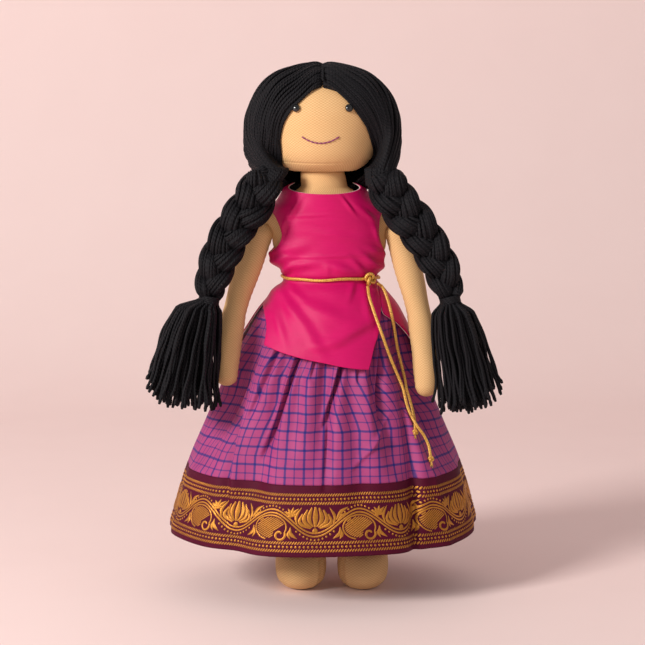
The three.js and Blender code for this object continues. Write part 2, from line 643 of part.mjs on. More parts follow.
// Hanging folds: angle in degrees from the front towards +X, depth in mm, half width in degrees,
// and where each starts and ends between the waistband (0) and the hem (1)
const FOLDS = [
  [-28, 7, 7, 0.04, 0.85], [-15, 4, 6, 0.04, 0.62], [0, 6, 6, 0.04, 0.68], [15, 3, 6, 0.1, 0.9],
  [31, 6, 6, 0.06, 0.68], [46, 8, 6, 0.3, 1.7], [-42, 6, 6, 0.45, 1.7], [63, 13, 15, 0.12, 0.72],
  [-63, 13, 15, 0.12, 0.72], [84, 4, 8, 0.5, 1.6], [-84, 4, 8, 0.5, 1.6], [112, 7, 8, 0.05, 1.6],
  [137, 6, 8, 0.05, 1.2], [161, 7, 8, 0.05, 1.6], [-172, 5, 8, 0.05, 0.95], [-150, 7, 8, 0.05, 1.6],
  [-127, 6, 8, 0.05, 1.2], [-104, 6, 8, 0.1, 1.6],
];

function foldDepth(degrees, t) {
  let depth = 0;
  for (const [angle, deep, half, from, to] of FOLDS) {
    const run = (t - from) / (to - from);
    if (run <= 0 || run >= 1) continue;
    const away = ((degrees - angle + 540) % 360) - 180;
    depth += deep * Math.sin(Math.PI * run) ** 0.7 * Math.exp(-((away / half) ** 2));
  }
  return depth;
}

function skirtRing(t, inset, around) {
  const z = BAND_BOTTOM - GAP - t * SKIRT_FALL;
  const ring = [];
  for (let k = 0; k < around; k += 1) {
    const degrees = (360 * k) / around - 180;
    const turn = THREE.MathUtils.degToRad(degrees);
    const inward = inset + foldDepth(degrees, t);
    const x = skirtDrift(z) + (skirtHalfWidth(t) - inward) * Math.sin(turn);
    ring.push(new THREE.Vector3(x, -(skirtHalfDepth(t) - inward) * Math.cos(turn), z));
  }
  return ring;
}

const borderTop = 1 - BORDER_HEIGHT / SKIRT_FALL;
const clothShares = [0, 0.035, 0.09, 0.2, 0.33, 0.5, borderTop];
const borderShares = [borderTop + GAP / SKIRT_FALL, 0.86, 1];
function addSkirtPiece(name, shares, color) {
  const outer = shares.map((t) => skirtRing(t, 0, SKIRT_SIDES));
  const inner = shares.map((t) => skirtRing(t, SKIRT_CLOTH, SKIRT_SIDES)).reverse();
  addPiece(name, joinRings([...outer, ...inner], true), color, 0.8);
}
addSkirtPiece('skirt_cloth', clothShares, CHECK_COLOUR);
addSkirtPiece('skirt_border', borderShares, BORDER_COLOUR);

// Waistband: a channel of cloth, open below, round a flat elastic
function bandRings(section) {
  return section.map(([out, z]) => {
    return oval(lean(WAIST), 0, z, WAIST_HALF_WIDTH + out, WAIST_HALF_DEPTH + out, BODY_SIDES);
  });
}
const wallStart = GAP;
const elasticStart = wallStart + BAND_CLOTH + GAP;
const outerWall = elasticStart + ELASTIC_THICKNESS + GAP;
const channelTop = WAIST - BAND_CLOTH;
const wallEnd = wallStart + BAND_CLOTH;
addPiece('skirt_waistband', joinRings(bandRings([
  [BAND_WALL, BAND_BOTTOM], [BAND_WALL, WAIST], [wallStart, WAIST], [wallStart, BAND_BOTTOM],
  [wallEnd, BAND_BOTTOM], [wallEnd, channelTop], [outerWall, channelTop], [outerWall, BAND_BOTTOM],
]), true), CHECK_COLOUR, 0.8);
const elasticEnd = elasticStart + ELASTIC_THICKNESS;
const elasticTop = channelTop - GAP;
const elasticBottom = BAND_BOTTOM + 0.8;
addPiece('waist_elastic', joinRings(bandRings([
  [elasticStart, elasticBottom], [elasticStart, elasticTop],
  [elasticEnd, elasticTop], [elasticEnd, elasticBottom],
]), true), 0xf3efe6, 0.7);

// Tunic: front and back panels that follow the torso above the cord and lie over the skirt below it
const TUNIC_LAYERS = LINING_CLOTH + GAP + TUNIC_CLOTH;
const atWaist = BAND_WALL + EASE_UNDER_LINING + TUNIC_LAYERS;
const TUNIC_TOP = NECK + 3;
const tunicSize = (torso, skirt) => {
  const rows = [];
  for (const below of [0.36, 0.27, 0.2, 0.146, 0.1, 0.07, 0.04]) {
    rows.push([BAND_BOTTOM - GAP - below * SKIRT_FALL, skirt(below) + TUNIC_OVER_SKIRT + TUNIC_LAYERS]);
  }
  const tied = torso(WAIST) + atWaist;
  rows.push([WAIST - 4, tied + 0.8], [WAIST, tied], [WAIST + 3, tied + 0.6]);
  for (const share of [0.12, 0.25, 0.42, 0.6, 0.75, 0.88, 1]) {
    const z = WAIST + share * (TUNIC_TOP - WAIST);
    rows.push([z, Math.max(torso(z), torso(WAIST + 0.2 * chestRise)) + CHEST_EASE + TUNIC_LAYERS]);
  }
  return rows;
};
const depthRows = tunicSize(torsoHalfDepth, skirtHalfDepth);
const tunicHalfDepth = curveThrough(depthRows);
const chestEnd = SHOULDER + 0.3 * SHOULDER_TO_NECK;
const widthRows = tunicSize(torsoHalfWidth, skirtHalfWidth).filter(([z]) => z < chestEnd);
widthRows.push([SHOULDER + 0.56 * SHOULDER_TO_NECK, 0.95 * CHEST_HALF_WIDTH + 3.2]);
widthRows.push([NECK - 10, NECK_RADIUS + 17], [NECK - 4, NECK_RADIUS + 11.5], [TUNIC_TOP, NECK_RADIUS + 5]);
const tunicHalfWidth = curveThrough(widthRows);
const tunicMiddle = (z) => (z > WAIST ? lean(z) : skirtDrift(z));

// Side edges of the panels as angles from the front, with an armhole and a side slit.
// The seam on the doll's left is drawn forward below the cord.
const SEAM_ANGLE = 89.5;
const armholeAngle = curveThrough([
  [SHOULDER - 14.5, SEAM_ANGLE], [SHOULDER - 12, 74], [SHOULDER - 5, 62], [SHOULDER + 8, 60],
  [SHOULDER + 17, 68], [SHOULDER + 22, SEAM_ANGLE],
]);
const slit = (rows) => {
  return curveThrough([...rows.map(([below, angle]) => [WAIST - below, angle]), [WAIST - 2, SEAM_ANGLE]]);
};
const frontRightEdge = slit([[62, 41], [50, 44], [35, 51], [25, 66], [18, SEAM_ANGLE]]);
const frontLeftEdge = slit([[66, 35], [40, 41], [25, 47], [10, 62]]);
const backRightEdge = slit([[62, 96], [30, 92], [18, SEAM_ANGLE]]);
const backLeftEdge = slit([[66, 80], [50, 75], [35, 62], [25, 48], [10, 62.6]]);

function tunicAngle(share, z, front) {
  const rightSlit = front ? frontRightEdge : backRightEdge;
  const leftSlit = front ? frontLeftEdge : backLeftEdge;
  const edge = (cut) => Math.min(z > WAIST ? armholeAngle(z) : cut(z), SEAM_ANGLE);
  if (front) return (2 * share - 1) * edge(share < 0.5 ? rightSlit : leftSlit);
  const start = z > WAIST ? 180 - armholeAngle(z) : leftSlit(z);
  const end = z > WAIST ? 180 + armholeAngle(z) : 360 - rightSlit(z);
  const backSeam = 180 - SEAM_ANGLE;
  const least = z > WAIST - 3 ? backSeam : start + 0.4;
  return THREE.MathUtils.lerp(Math.max(start, least), Math.min(end, 360 - backSeam), share);
}

// Rows of the panels, as heights from the waist
const tunicLevels = [
  -TUNIC_FALL, -47, -33, -22, -15, -9.5, -4.5, 0, 5, 13, 20.5, 27, 40, 53, 63, TUNIC_TOP - WAIST,
];

function tunicPoint(share, rowShare, inset, front) {
  const across = 2 * share - 1;
  const level = tunicLevels[Math.round(rowShare * (tunicLevels.length - 1))];
  const hemShift = front ? 0.6 - 8.6 * across + 3.2 * across ** 2 : TUNIC_FALL - BACK_FALL;
  const dip = (front ? NECKLINE_DIP : 0.55 * NECKLINE_DIP) * (1 - across ** 2);
  const nearHem = Math.max(0, (-level - 17) / (TUNIC_FALL - 17));
  const nearTop = Math.max(0, (level - 50) / (TUNIC_TOP - WAIST - 50));
  const z = WAIST + level + hemShift * nearHem - dip * nearTop;
  const turn = THREE.MathUtils.degToRad(tunicAngle(share, z, front));
  const x = tunicMiddle(z) + (tunicHalfWidth(z) - inset) * Math.sin(turn);
  return new THREE.Vector3(x, -(tunicHalfDepth(z) - inset) * Math.cos(turn), z);
}

for (const [word, front] of [['front', true], ['back', false]]) {
  const rows = tunicLevels.length - 1;
  const cloth = panel(10, rows, (u, v, outer) => tunicPoint(u, v, outer ? 0 : TUNIC_CLOTH, front));
  addPiece(`tunic_${word}`, cloth, PINK_COLOUR, 0.5);
  const inset = TUNIC_CLOTH + GAP;
  const liningInset = inset + LINING_CLOTH;
  const lining = panel(10, rows, (u, v, outer) => tunicPoint(u, v, outer ? inset : liningInset, front));
  addPiece(`tunic_${word}_lining`, lining, LINING_COLOUR, 0.8);
}

// Gold cord: one turn round the waist, a knot on the doll's left, and two free tails
const cordWidth = tunicHalfWidth(WAIST) + GAP + CORD_RADIUS + 0.15;
const cordDepth = tunicHalfDepth(WAIST) + GAP + CORD_RADIUS + 0.15;
const cordSection = 6;
const cordRings = [];
for (let k = 0; k < 40; k += 1) {
  const turn = (2 * Math.PI * k) / 40;
  const outward = new THREE.Vector3(cordDepth * Math.sin(turn), -cordWidth * Math.cos(turn), 0).normalize();
  const middle = new THREE.Vector3(lean(WAIST), 0, WAIST);
  middle.x += cordWidth * Math.sin(turn);
  middle.y -= cordDepth * Math.cos(turn);
  const upward = new THREE.Vector3(0, 0, 1);
  const round = (t) => [CORD_RADIUS * Math.cos(t), CORD_RADIUS * Math.sin(t)];
  cordRings.push(ringAcross(middle, outward, upward, round, cordSection));
}
addPiece('waist_cord', joinRings(cordRings, true), GOLD_COLOUR, 0.4, 0.5);

const KNOT_ANGLE = THREE.MathUtils.degToRad(47);
const knotOut = CORD_RADIUS * 2 + CORD_KNOT_SIZE * 0.4;
const knotX = lean(WAIST) + (cordWidth + knotOut) * Math.sin(KNOT_ANGLE);
const knotPlace = new THREE.Vector3(knotX, -(cordDepth + knotOut) * Math.cos(KNOT_ANGLE), WAIST);

function knot(name, place, size, radius, turn, steps) {
  const shape = new THREE.TorusKnotGeometry(size, radius, steps, 5, 2, 3);
  shape.rotateX(Math.PI / 2);
  shape.rotateZ(turn);
  shape.translate(place.x, place.y, place.z);
  addPiece(name, shape, GOLD_COLOUR, 0.4, 0.5);
}
knot('waist_cord_knot', knotPlace, CORD_KNOT_SIZE, 1, KNOT_ANGLE, 24);

// The free tails hang from the knot over the tunic and the skirt, and end in small knots.
const INNER_TAIL = [
  [35.5, -24.8, 244.4], [36.6, -31.4, 237], [39.5, -37.4, 228], [42.5, -40.8, 219.6], [46, -43.4, 210],
  [49.5, -43.2, 200], [54.4, -41.4, 187], [59, -40.2, 176], [63, -41, 166], [66.3, -43.4, 152.5],
  [70.2, -45.4, 143.6], [74.5, -47.6, 136.5], [79.2, -47.2, 130], [82.9, -48.4, 122], [84.3, -51.2, 114.5],
];
const OUTER_TAIL = [
  [43.2, -20.5, 246.6], [47.2, -17.5, 243.5], [50.6, -21.5, 236], [53.6, -27.8, 225.5], [56.4, -26.5, 212],
  [59.2, -25.5, 195], [62.4, -26, 182], [64.6, -28.2, 173], [66.2, -32.4, 164], [68.6, -34.6, 156],
  [71.2, -38, 146], [72.2, -42.6, 140], [72.4, -46.6, 134.5],
];
for (const [word, route] of [['inner', INNER_TAIL], ['outer', OUTER_TAIL]]) {
  const points = route.map(([x, y, z]) => new THREE.Vector3(x, y, z));
  addPiece(`cord_tail_${word}`, tube(points, CORD_RADIUS, 4, 26), GOLD_COLOUR, 0.4, 0.5);
  const [before, last] = points.slice(-2);
  const onward = last.clone().sub(before).normalize();
  const place = last.clone().addScaledVector(onward, GAP + 1.5 * END_KNOT_SIZE + END_KNOT_THREAD);
  knot(`${word}_tail_knot`, place, END_KNOT_SIZE, END_KNOT_THREAD, 0.6, 20);
}

export default doll;
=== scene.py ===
# %% [markdown]
# # A cloth doll with two long plaits
#
# The doll is sewn from knitted cloth and stuffed. It wears a pink silk tunic over a gathered,
# checked skirt with a woven gold border, and its hair and plaits are black yarn. Each cell below
# makes one of these things. Lengths are written in millimetres, as a doll maker would, and are
# turned into metres only when a mesh is made. The doll faces -Y, and its own right is at -X.

import bpy
import numpy as np
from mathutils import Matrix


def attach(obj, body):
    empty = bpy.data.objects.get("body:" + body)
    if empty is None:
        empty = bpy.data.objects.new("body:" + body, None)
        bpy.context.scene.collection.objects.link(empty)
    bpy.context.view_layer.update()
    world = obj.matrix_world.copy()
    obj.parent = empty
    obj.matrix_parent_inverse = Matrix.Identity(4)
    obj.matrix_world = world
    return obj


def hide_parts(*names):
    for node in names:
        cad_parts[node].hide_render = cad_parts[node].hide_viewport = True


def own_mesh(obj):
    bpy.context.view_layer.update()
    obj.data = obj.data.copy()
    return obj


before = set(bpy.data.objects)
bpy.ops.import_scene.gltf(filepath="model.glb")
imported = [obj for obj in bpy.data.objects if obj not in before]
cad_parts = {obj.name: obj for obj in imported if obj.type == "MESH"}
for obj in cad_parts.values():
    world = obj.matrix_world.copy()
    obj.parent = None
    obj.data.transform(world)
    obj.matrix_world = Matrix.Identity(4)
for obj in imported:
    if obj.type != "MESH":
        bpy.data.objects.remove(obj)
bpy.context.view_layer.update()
MM = 0.001
rng = np.random.default_rng(7)

# %% [markdown]
# ## Camera
#
# The picture was taken from a little above the doll's middle, through a long lens. A long lens a
# long way off keeps the hem and the head in proportion. A short lens close by would swell the
# skirt.

# %% The camera
LENS_LENGTH, SENSOR_WIDTH, CAMERA_PITCH = 105.366, 36.0, 7.1076
camera_data = bpy.data.cameras.new("camera")
camera_data.lens = LENS_LENGTH
camera_data.sensor_width = SENSOR_WIDTH
camera_data.clip_end = 20.0
camera = bpy.data.objects.new("camera", camera_data)
camera.location = (0.0, -1.5, 0.4)
camera.rotation_euler = (np.radians(90.0 - CAMERA_PITCH), 0.0, 0.0)
bpy.context.scene.collection.objects.link(camera)
bpy.context.scene.camera = camera
print("lens", round(LENS_LENGTH, 1), "mm, pitched", round(CAMERA_PITCH, 1), "degrees down")

# %% [markdown]
# ## Smooth curves through a few measured places
#
# Most forms here are drawn the way a pattern cutter works: a few measured widths, and a smooth line
# through them. A cubic piece between each pair, with its slope taken from the neighbours, passes
# through every value and never needs a solver.


# %% Curves through values and through points
def through(pairs):
    """Gives a function that passes smoothly through (place, value) pairs, flat beyond both ends.
    Between two pairs it is the cubic whose end slopes are those of the line that joins the
    neighbours."""
    place, value = np.array(pairs, float).T
    last = len(place) - 1
    ahead = np.minimum(np.arange(last + 1) + 1, last)
    behind = np.maximum(np.arange(last + 1) - 1, 0)
    slope = (value[ahead] - value[behind]) / (place[ahead] - place[behind])

    def at(x):
        x = np.clip(x, place[0], place[-1])
        i = np.clip(np.searchsorted(place, x, side="right") - 1, 0, last - 1)
        run = place[i + 1] - place[i]
        t = (x - place[i]) / run
        lead = t * (1 - t) ** 2 * run * slope[i]
        trail = t * t * (t - 1) * run * slope[i + 1]
        return value[i] + (value[i + 1] - value[i]) * t * t * (3 - 2 * t) + lead + trail

    return at


def route(points, count):
    """Points at even distances on a smooth curve through the given ones."""
    points = np.asarray(points, float)
    steps = np.linalg.norm(np.diff(points, axis=0), axis=1)
    reach = np.concatenate([[0.0], np.cumsum(steps)])
    fine = np.linspace(0.0, reach[-1], 30 * len(points))
    curve = np.stack([through(np.column_stack([reach, p]))(fine) for p in points.T], axis=-1)
    gone = np.concatenate([[0.0], np.cumsum(np.linalg.norm(np.diff(curve, axis=0), axis=1))])
    even = np.linspace(0.0, gone[-1], count)
    return np.stack([np.interp(even, gone, p) for p in curve.T], axis=-1)


def length_of(points):
    """Sum of the straight steps between neighbouring points, in the points' own unit."""
    return float(np.linalg.norm(np.diff(points, axis=0), axis=1).sum())


def unit(vectors):
    """Vectors divided by their own length."""
    return vectors / np.maximum(np.linalg.norm(vectors, axis=-1, keepdims=True), 1e-9)


def smooth_step(low, high, x):
    """0 below low, 1 above high, and the curve 3t² - 2t³ between."""
    t = np.clip((x - low) / (high - low), 0.0, 1.0)
    return t * t * (3 - 2 * t)


def hump(x, middle, width):
    """A soft bump of height 1: e to the minus square of the distance over the width."""
    return np.exp(-(((x - middle) / width) ** 2))


print("a smooth step is", smooth_step(0.0, 1.0, 0.5), "halfway along")

# %% [markdown]
# ## From arrays to meshes
#
# Every piece is a grid of points, either a sheet or a tube. The grid's corners go to the mesh as
# whole arrays. Where a pattern follows the cloth, the grid also gets a UV map measured on the
# cloth.


# %% Put a grid or a bundle of tubes into a mesh
def add_mesh(name, points, faces, corner_uv=None):
    """Makes one object from points in millimetres and a list of face arrays."""
    mesh = bpy.data.meshes.new(name)
    corners = (points.reshape(-1, 3) * MM).tolist()
    mesh.from_pydata(corners, [], [face for rows in faces for face in rows.tolist()])
    if corner_uv is not None:
        layer = mesh.uv_layers.new(name="cloth")
        places = np.concatenate([uv.reshape(-1, 2) for uv in corner_uv])
        layer.data.foreach_set("uv", places.ravel())
    mesh.shade_smooth()
    piece = bpy.data.objects.new(name, mesh)
    bpy.context.scene.collection.objects.link(piece)
    return piece


def grid_faces(rows, columns, around=False):
    """Corner numbers of a grid's squares. If around, the last column is joined to the first."""
    span = columns if around else columns - 1
    r, c = np.meshgrid(np.arange(rows - 1), np.arange(span), indexing="ij")
    corners = [(r, c), (r, c + 1), (r + 1, c + 1), (r + 1, c)]
    index = np.stack([row * columns + column % columns for row, column in corners], axis=-1)
    places = np.stack([np.stack([row, column], axis=-1) for row, column in corners], axis=-2)
    return index.reshape(-1, 4), places.reshape(-1, 4, 2)


def sheet(name, points, around=False, uv=None, turned=False, capped=False):
    """A grid of points as a sheet. Its UV map is given for each row and each column line."""
    rows, columns = points.shape[:2]
    index, places = grid_faces(rows, columns, around)
    if turned:
        index, places = index[:, ::-1], places[:, ::-1]
    faces = [index]
    corner_uv = None if uv is None else [uv[places[..., 0], places[..., 1]]]
    if capped:
        first = np.arange(columns)[None, :]
        last = (rows - 1) * columns + first
        faces += [first if turned else first[:, ::-1], last[:, ::-1] if turned else last]
        if corner_uv is not None:
            corner_uv += [uv[0, :columns][None], uv[-1, :columns][None]]
    return add_mesh(name, points, faces, corner_uv)


def thicken(piece, thickness):
    """Gives a sheet its thickness in mm, inwards from the surface that was worked out."""
    wall = piece.modifiers.new("thickness", "SOLIDIFY")
    wall.thickness, wall.offset = thickness * MM, -1.0


def area_of(points):
    """Area of a grid in mm²: the sum of the parallelograms between neighbouring points."""
    down, across = np.diff(points, axis=0)[:, :-1], np.diff(points, axis=1)[:-1]
    return float(np.linalg.norm(np.cross(down, across), axis=-1).sum())


def tube_points(paths, radius, sides, reference=(0.0, 1.0, 0.0)):
    """Rings square to each of N paths of K points. The side direction is the reference crossed with
    the path's own direction, and the radius may vary by path, by point and by side."""
    along = unit(np.gradient(paths, axis=1))
    across = unit(np.cross(np.broadcast_to(reference, paths.shape), along))
    depth = np.cross(along, across)
    turn = np.linspace(0.0, 2 * np.pi, sides, endpoint=False)
    round_across = np.cos(turn)[:, None] * across[:, :, None, :]
    round_depth = np.sin(turn)[:, None] * depth[:, :, None, :]
    radius = np.asarray(radius, float)
    while radius.ndim < 3:
        radius = radius[..., None]
    return paths[:, :, None, :] + radius[..., None] * (round_across + round_depth)


def tubes(name, paths, radius, sides=6, reference=(0.0, 1.0, 0.0)):
    """A bundle of closed round tubes in one mesh, with U round each tube and V along it in mm."""
    rings = tube_points(paths, radius, sides, reference)
    count, steps = paths.shape[:2]
    index, places = grid_faces(steps, sides, around=True)
    offset = (np.arange(count) * steps * sides)[:, None, None]
    walls = (index[None] + offset).reshape(-1, 4)
    first, last = np.arange(sides)[None, ::-1], (steps - 1) * sides + np.arange(sides)[None]
    caps = (np.stack([first, last])[None, :, 0] + offset).reshape(-1, sides)
    run = np.linalg.norm(np.diff(paths, axis=1), axis=-1).cumsum(axis=1)
    run = np.concatenate([np.zeros((count, 1)), run], axis=1)
    v = run[:, places[..., 0]]
    u = np.broadcast_to(places[..., 1] / sides, v.shape)
    wall_uv = np.stack([u, v], axis=-1)
    cap_uv = np.zeros(caps.shape + (2,))
    return add_mesh(name, rings, [walls, caps], [wall_uv, cap_uv])


def wind(name, points, radius, sides, reference=(0.0, 0.0, 1.0)):
    """A closed loop of cord: the last ring meets the first."""
    closed = np.concatenate([points[-1:], points, points[:1]])[None]
    if np.ndim(reference) > 1:
        reference = np.concatenate([reference[-1:], reference, reference[:1]])[None]
    if np.ndim(radius) > 1:
        radius = np.concatenate([radius[:, -1:], radius, radius[:, :1]], axis=1)
    rings = tube_points(closed, radius, sides, reference)[0, 1:-1]
    rings = np.concatenate([rings, rings[:1]])
    count = len(points)
    index, places = grid_faces(count + 1, sides, around=True)
    run = np.linspace(0.0, length_of(closed[0]), count + 1)
    uv = np.stack([places[..., 1] / sides, run[places[..., 0]]], axis=-1)
    return add_mesh(name, rings[:-1], [index % (count * sides)], [uv])


print("a grid of 3 by 4 points has", len(grid_faces(3, 4)[0]), "squares")

# %% [markdown]
# ## Shader maths as plain expressions
#
# A material's pattern is arithmetic on coordinates. Node by node that is hard to read, so a small
# class wraps one socket and turns +, -, * and / into Math nodes. Every other node comes from one
# method that takes the node's type, its settings and its inputs.


# %% Numbers that turn into Math nodes
class Value:
    """One number in a material. Arithmetic on it adds Math nodes to the same material."""

    def __init__(self, paint, socket):
        self.paint, self.socket = paint, socket

    def math(self, operation, *others, first=None):
        """Adds one Math node. This value is its first number, unless another is given as first."""
        inputs = dict(enumerate([self if first is None else first, *others]))
        node = self.paint.node("ShaderNodeMath", {"operation": operation}, inputs)
        return Value(self.paint, node.outputs[0])

    def __add__(self, other):
        return self.math("ADD", other)

    def __sub__(self, other):
        return self.math("SUBTRACT", other)

    def __mul__(self, other):
        return self.math("MULTIPLY", other)

    def __truediv__(self, other):
        return self.math("DIVIDE", other)

    def __rsub__(self, other):
        return self.math("SUBTRACT", self, first=other)

    __radd__ = __add__
    __rmul__ = __mul__

    def wave(self, period):
        """A sine of this length between -1 and 1."""
        return (self * (2 * np.pi / period)).math("SINE")

    def apart(self, period):
        """Distance to the nearest multiple of the period."""
        return (self / period + 0.5).math("FRACT").math("SUBTRACT", 0.5).math("ABSOLUTE") * period

    def within(self, half, soft):
        """1 where the value is under half, falling to 0 over the soft width."""
        settings = {"interpolation_type": "SMOOTHSTEP"}
        inputs = {0: self, 1: half - soft, 2: half + soft, 3: 1.0, 4: 0.0}
        return Value(self.paint, self.paint.node("ShaderNodeMapRange", settings, inputs).outputs[0])


def colour(red, green, blue):
    """A colour read from a picture, 0 to 255, as the linear value that a shader wants."""
    share = np.array([red, green, blue]) / 255.0
    linear = np.where(share <= 0.04045, share / 12.92, ((share + 0.055) / 1.055) ** 2.4)
    return (*linear.tolist(), 1.0)


def socket_name(word):
    """A socket's name as the shader writes it: base_color is Base Color."""
    return word.replace("_", " ").title().replace("Ior", "IOR")


class Paint:
    """One material: a Principled shader, and the nodes that feed it."""

    def __init__(self, name, **constants):
        self.material = bpy.data.materials.new(name)
        self.material.use_nodes = True
        self.tree = self.material.node_tree
        self.tree.nodes.clear()
        named = {socket_name(word): value for word, value in constants.items()}
        self.shader = self.node("ShaderNodeBsdfPrincipled", {}, named)
        self.node("ShaderNodeOutputMaterial", {}, {"Surface": self.shader.outputs[0]})

    def node(self, kind, settings=None, inputs=None):
        """Adds a node, sets what it is, then gives its sockets a value or a link."""
        node = self.tree.nodes.new(kind)
        for key, value in (settings or {}).items():
            setattr(node, key, value)
        for key, value in (inputs or {}).items():
            source = value.socket if isinstance(value, Value) else value
            if isinstance(source, bpy.types.NodeSocket):
                self.tree.links.new(source, node.inputs[key])
            else:
                node.inputs[key].default_value = source
        return node

    def feed(self, **inputs):
        """Links what changes over the surface to the shader."""
        for word, value in inputs.items():
            source = value.socket if isinstance(value, Value) else value
            self.tree.links.new(source, self.shader.inputs[socket_name(word)])
        print(self.material.name, "is made of", len(self.tree.nodes), "nodes")

    def places(self):
        """The point on the doll, in millimetres, as a vector socket."""
        spot = self.node("ShaderNodeTexCoord").outputs["Object"]
        inputs = {0: spot, "Scale": 1000.0}
        return self.node("ShaderNodeVectorMath", {"operation": "SCALE"}, inputs).outputs[0]

    def numbers(self, vector):
        """The parts of a vector, as three numbers."""
        apart = self.node("ShaderNodeSeparateXYZ", {}, {0: vector})
        return [Value(self, output) for output in apart.outputs]

    def cloth(self):
        """U and V of the piece's own map, as two numbers."""
        return self.numbers(self.node("ShaderNodeUVMap", {"uv_map": "cloth"}).outputs[0])[:2]

    def drawn_out(self, vector, scales):
        """The same place with each of its parts multiplied, so that a noise is drawn out."""
        inputs = {0: vector, 1: scales}
        return self.node("ShaderNodeVectorMath", {"operation": "MULTIPLY"}, inputs).outputs[0]

    def noise(self, vector, scale, detail=2.0):
        """A cloudy pattern between 0 and 1."""
        inputs = {"Vector": vector, "Scale": scale, "Detail": detail, "Roughness": 0.55}
        return Value(self, self.node("ShaderNodeTexNoise", {}, inputs).outputs["Fac"])

    def mix(self, share, under, over):
        """Colour under where share is 0, colour over where it is 1."""
        inputs = {0: share, 6: under, 7: over}
        return self.node("ShaderNodeMix", {"data_type": "RGBA"}, inputs).outputs[2]

    def bump(self, height, depth_mm, strength=1.0):
        """A normal from a height of 0 to 1 that stands depth_mm proud."""
        inputs = {"Height": height, "Distance": depth_mm * MM, "Strength": strength}
        return self.node("ShaderNodeBump", {}, inputs).outputs[0]


def dress(piece, paint, body, slot, *nodes):
    """Gives a piece its material, the body it moves with, and the solids it stands for."""
    piece.data.materials.clear()
    piece.data.materials.append(paint.material)
    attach(piece, body)
    if nodes:
        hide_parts(*nodes)
    print(f"{piece.name}: {len(piece.data.polygons)} faces, moves with {body}")


print("a grey of 128 in a picture is", round(colour(128, 128, 128)[0], 3), "in a shader")

# %% [markdown]
# ## The doll's own measures
#
# These are the lengths that the solids were made from. The surfaces of the scene use the same
# curves with many more points, and add folds, seams and yarn.

# %% Measures of the doll
WAIST, SHOULDER, NECK, CHIN, HIP = 250.0, 283.0, 322.0, 333.0, 158.0
HEAD_MIDDLE, HEAD_HALF_HEIGHT, HEAD_HALF_WIDTH, HEAD_HALF_DEPTH = 372.5, 39.5, 49.5, 38.0
WAIST_HALF_WIDTH, WAIST_HALF_DEPTH, CHEST_HALF_WIDTH, CHEST_HALF_DEPTH = 30.0, 20.5, 43.5, 22.0
NECK_RADIUS, NECK_BALL, LEAN = 18.2, 21.0, 7.5
BAND_WALL, SKIRT_TOP, SKIRT_FALL, HEM, BORDER_FALL = 3.4, 241.7, 196.0, 45.7, 53.0
HEM_HALF_WIDTH, HEM_HALF_DEPTH, BORDER_TOP = 126.0, 101.0, 1.0 - BORDER_FALL / SKIRT_FALL

rise = CHIN - WAIST
lean = through([
    (WAIST, LEAN), (WAIST + 0.3 * rise, 6.0), (WAIST + 0.6 * rise, 3.975),
    (WAIST + 0.9 * rise, 0.975), (CHIN, 0.0),
])
skirt_flare = through([
    (0, 0), (0.02, 0.08), (0.05, 0.15), (0.085, 0.207), (0.146, 0.283), (0.2125, 0.359),
    (0.3145, 0.465), (0.452, 0.592), (0.549, 0.685), (0.712, 0.83), (0.977, 0.995), (1, 1),
])
skirt_drift = through([
    (HEM, 0.0), (HEM + 0.55 * SKIRT_FALL, 1.5), (HEM + 0.7 * SKIRT_FALL, 2.475),
    (HEM + 0.86 * SKIRT_FALL, 4.5), (WAIST, LEAN),
])


def skirt_half(share, waist, hem):
    """Half width or depth of the skirt at a share of its fall: the waistband's half size, plus the
    flare's share of the way to the hem's."""
    return waist + BAND_WALL + (hem - waist - BAND_WALL) * skirt_flare(share)


print("the skirt falls", SKIRT_FALL, "mm and is", 2 * HEM_HALF_WIDTH, "mm wide at its hem")

# %% [markdown]
# ## The gold cord
#
# The cord is a round braid of metallic thread, 2.5 mm thick, tied round the waist and knotted on
# the doll's left, with two ends of unequal length. A plain tube with a bump would look like wire.
# The tube's radius itself rises and falls along two crossing spirals, which is what a braid does.

# %% Metallic braid
gold_cord = Paint("gold_cord", roughness=0.42, specular_ior_level=0.6)
around, run = gold_cord.cloth()
left_turn, right_turn = (around * 2 + run * 0.42).wave(1.0), (around * 2 - run * 0.42).wave(1.0)
plait_light = left_turn * right_turn * 0.5 + 0.5
glint = gold_cord.noise(gold_cord.places(), 1.6)
# painted highlight and shade: the braid is coloured lighter on the raised crowns of its strands and
# darker in the grooves between them, and duller in random patches where the glint noise is low
braid_painted_highlight = gold_cord.mix(plait_light, colour(196, 132, 40), colour(250, 204, 104))
gold_cord.feed(
    base_color=gold_cord.mix(glint.within(0.42, 0.1), braid_painted_highlight, colour(150, 96, 34)),
    metallic=plait_light * 0.35 + 0.15,
    normal=gold_cord.bump(plait_light, 0.25, 0.7),
)

# %% Cord ends and their knots
CORD_RADIUS, CORD_SIDES = 1.25, 12
INNER_TAIL = [
    (35.5, -24.8, 244.4), (36.6, -31.4, 237), (39.5, -37.4, 228), (42.5, -40.8, 219.6),
    (46, -43.4, 210), (49.5, -43.2, 200), (54.4, -41.4, 187), (59, -40.2, 176), (63, -41, 166),
    (66.3, -43.4, 152.5), (70.2, -45.4, 143.6), (74.5, -47.6, 136.5), (79.2, -47.2, 130),
    (82.9, -48.4, 122), (84.3, -51.2, 114.5),
]
OUTER_TAIL = [
    (43.2, -20.5, 246.6), (47.2, -17.5, 243.5), (50.6, -21.5, 236), (53.6, -27.8, 225.5),
    (56.4, -26.5, 212), (59.2, -25.5, 195), (62.4, -26, 182), (64.6, -28.2, 173),
    (66.2, -32.4, 164), (68.6, -34.6, 156), (71.2, -38, 146), (72.2, -42.6, 140),
    (72.4, -46.6, 134.5),
]


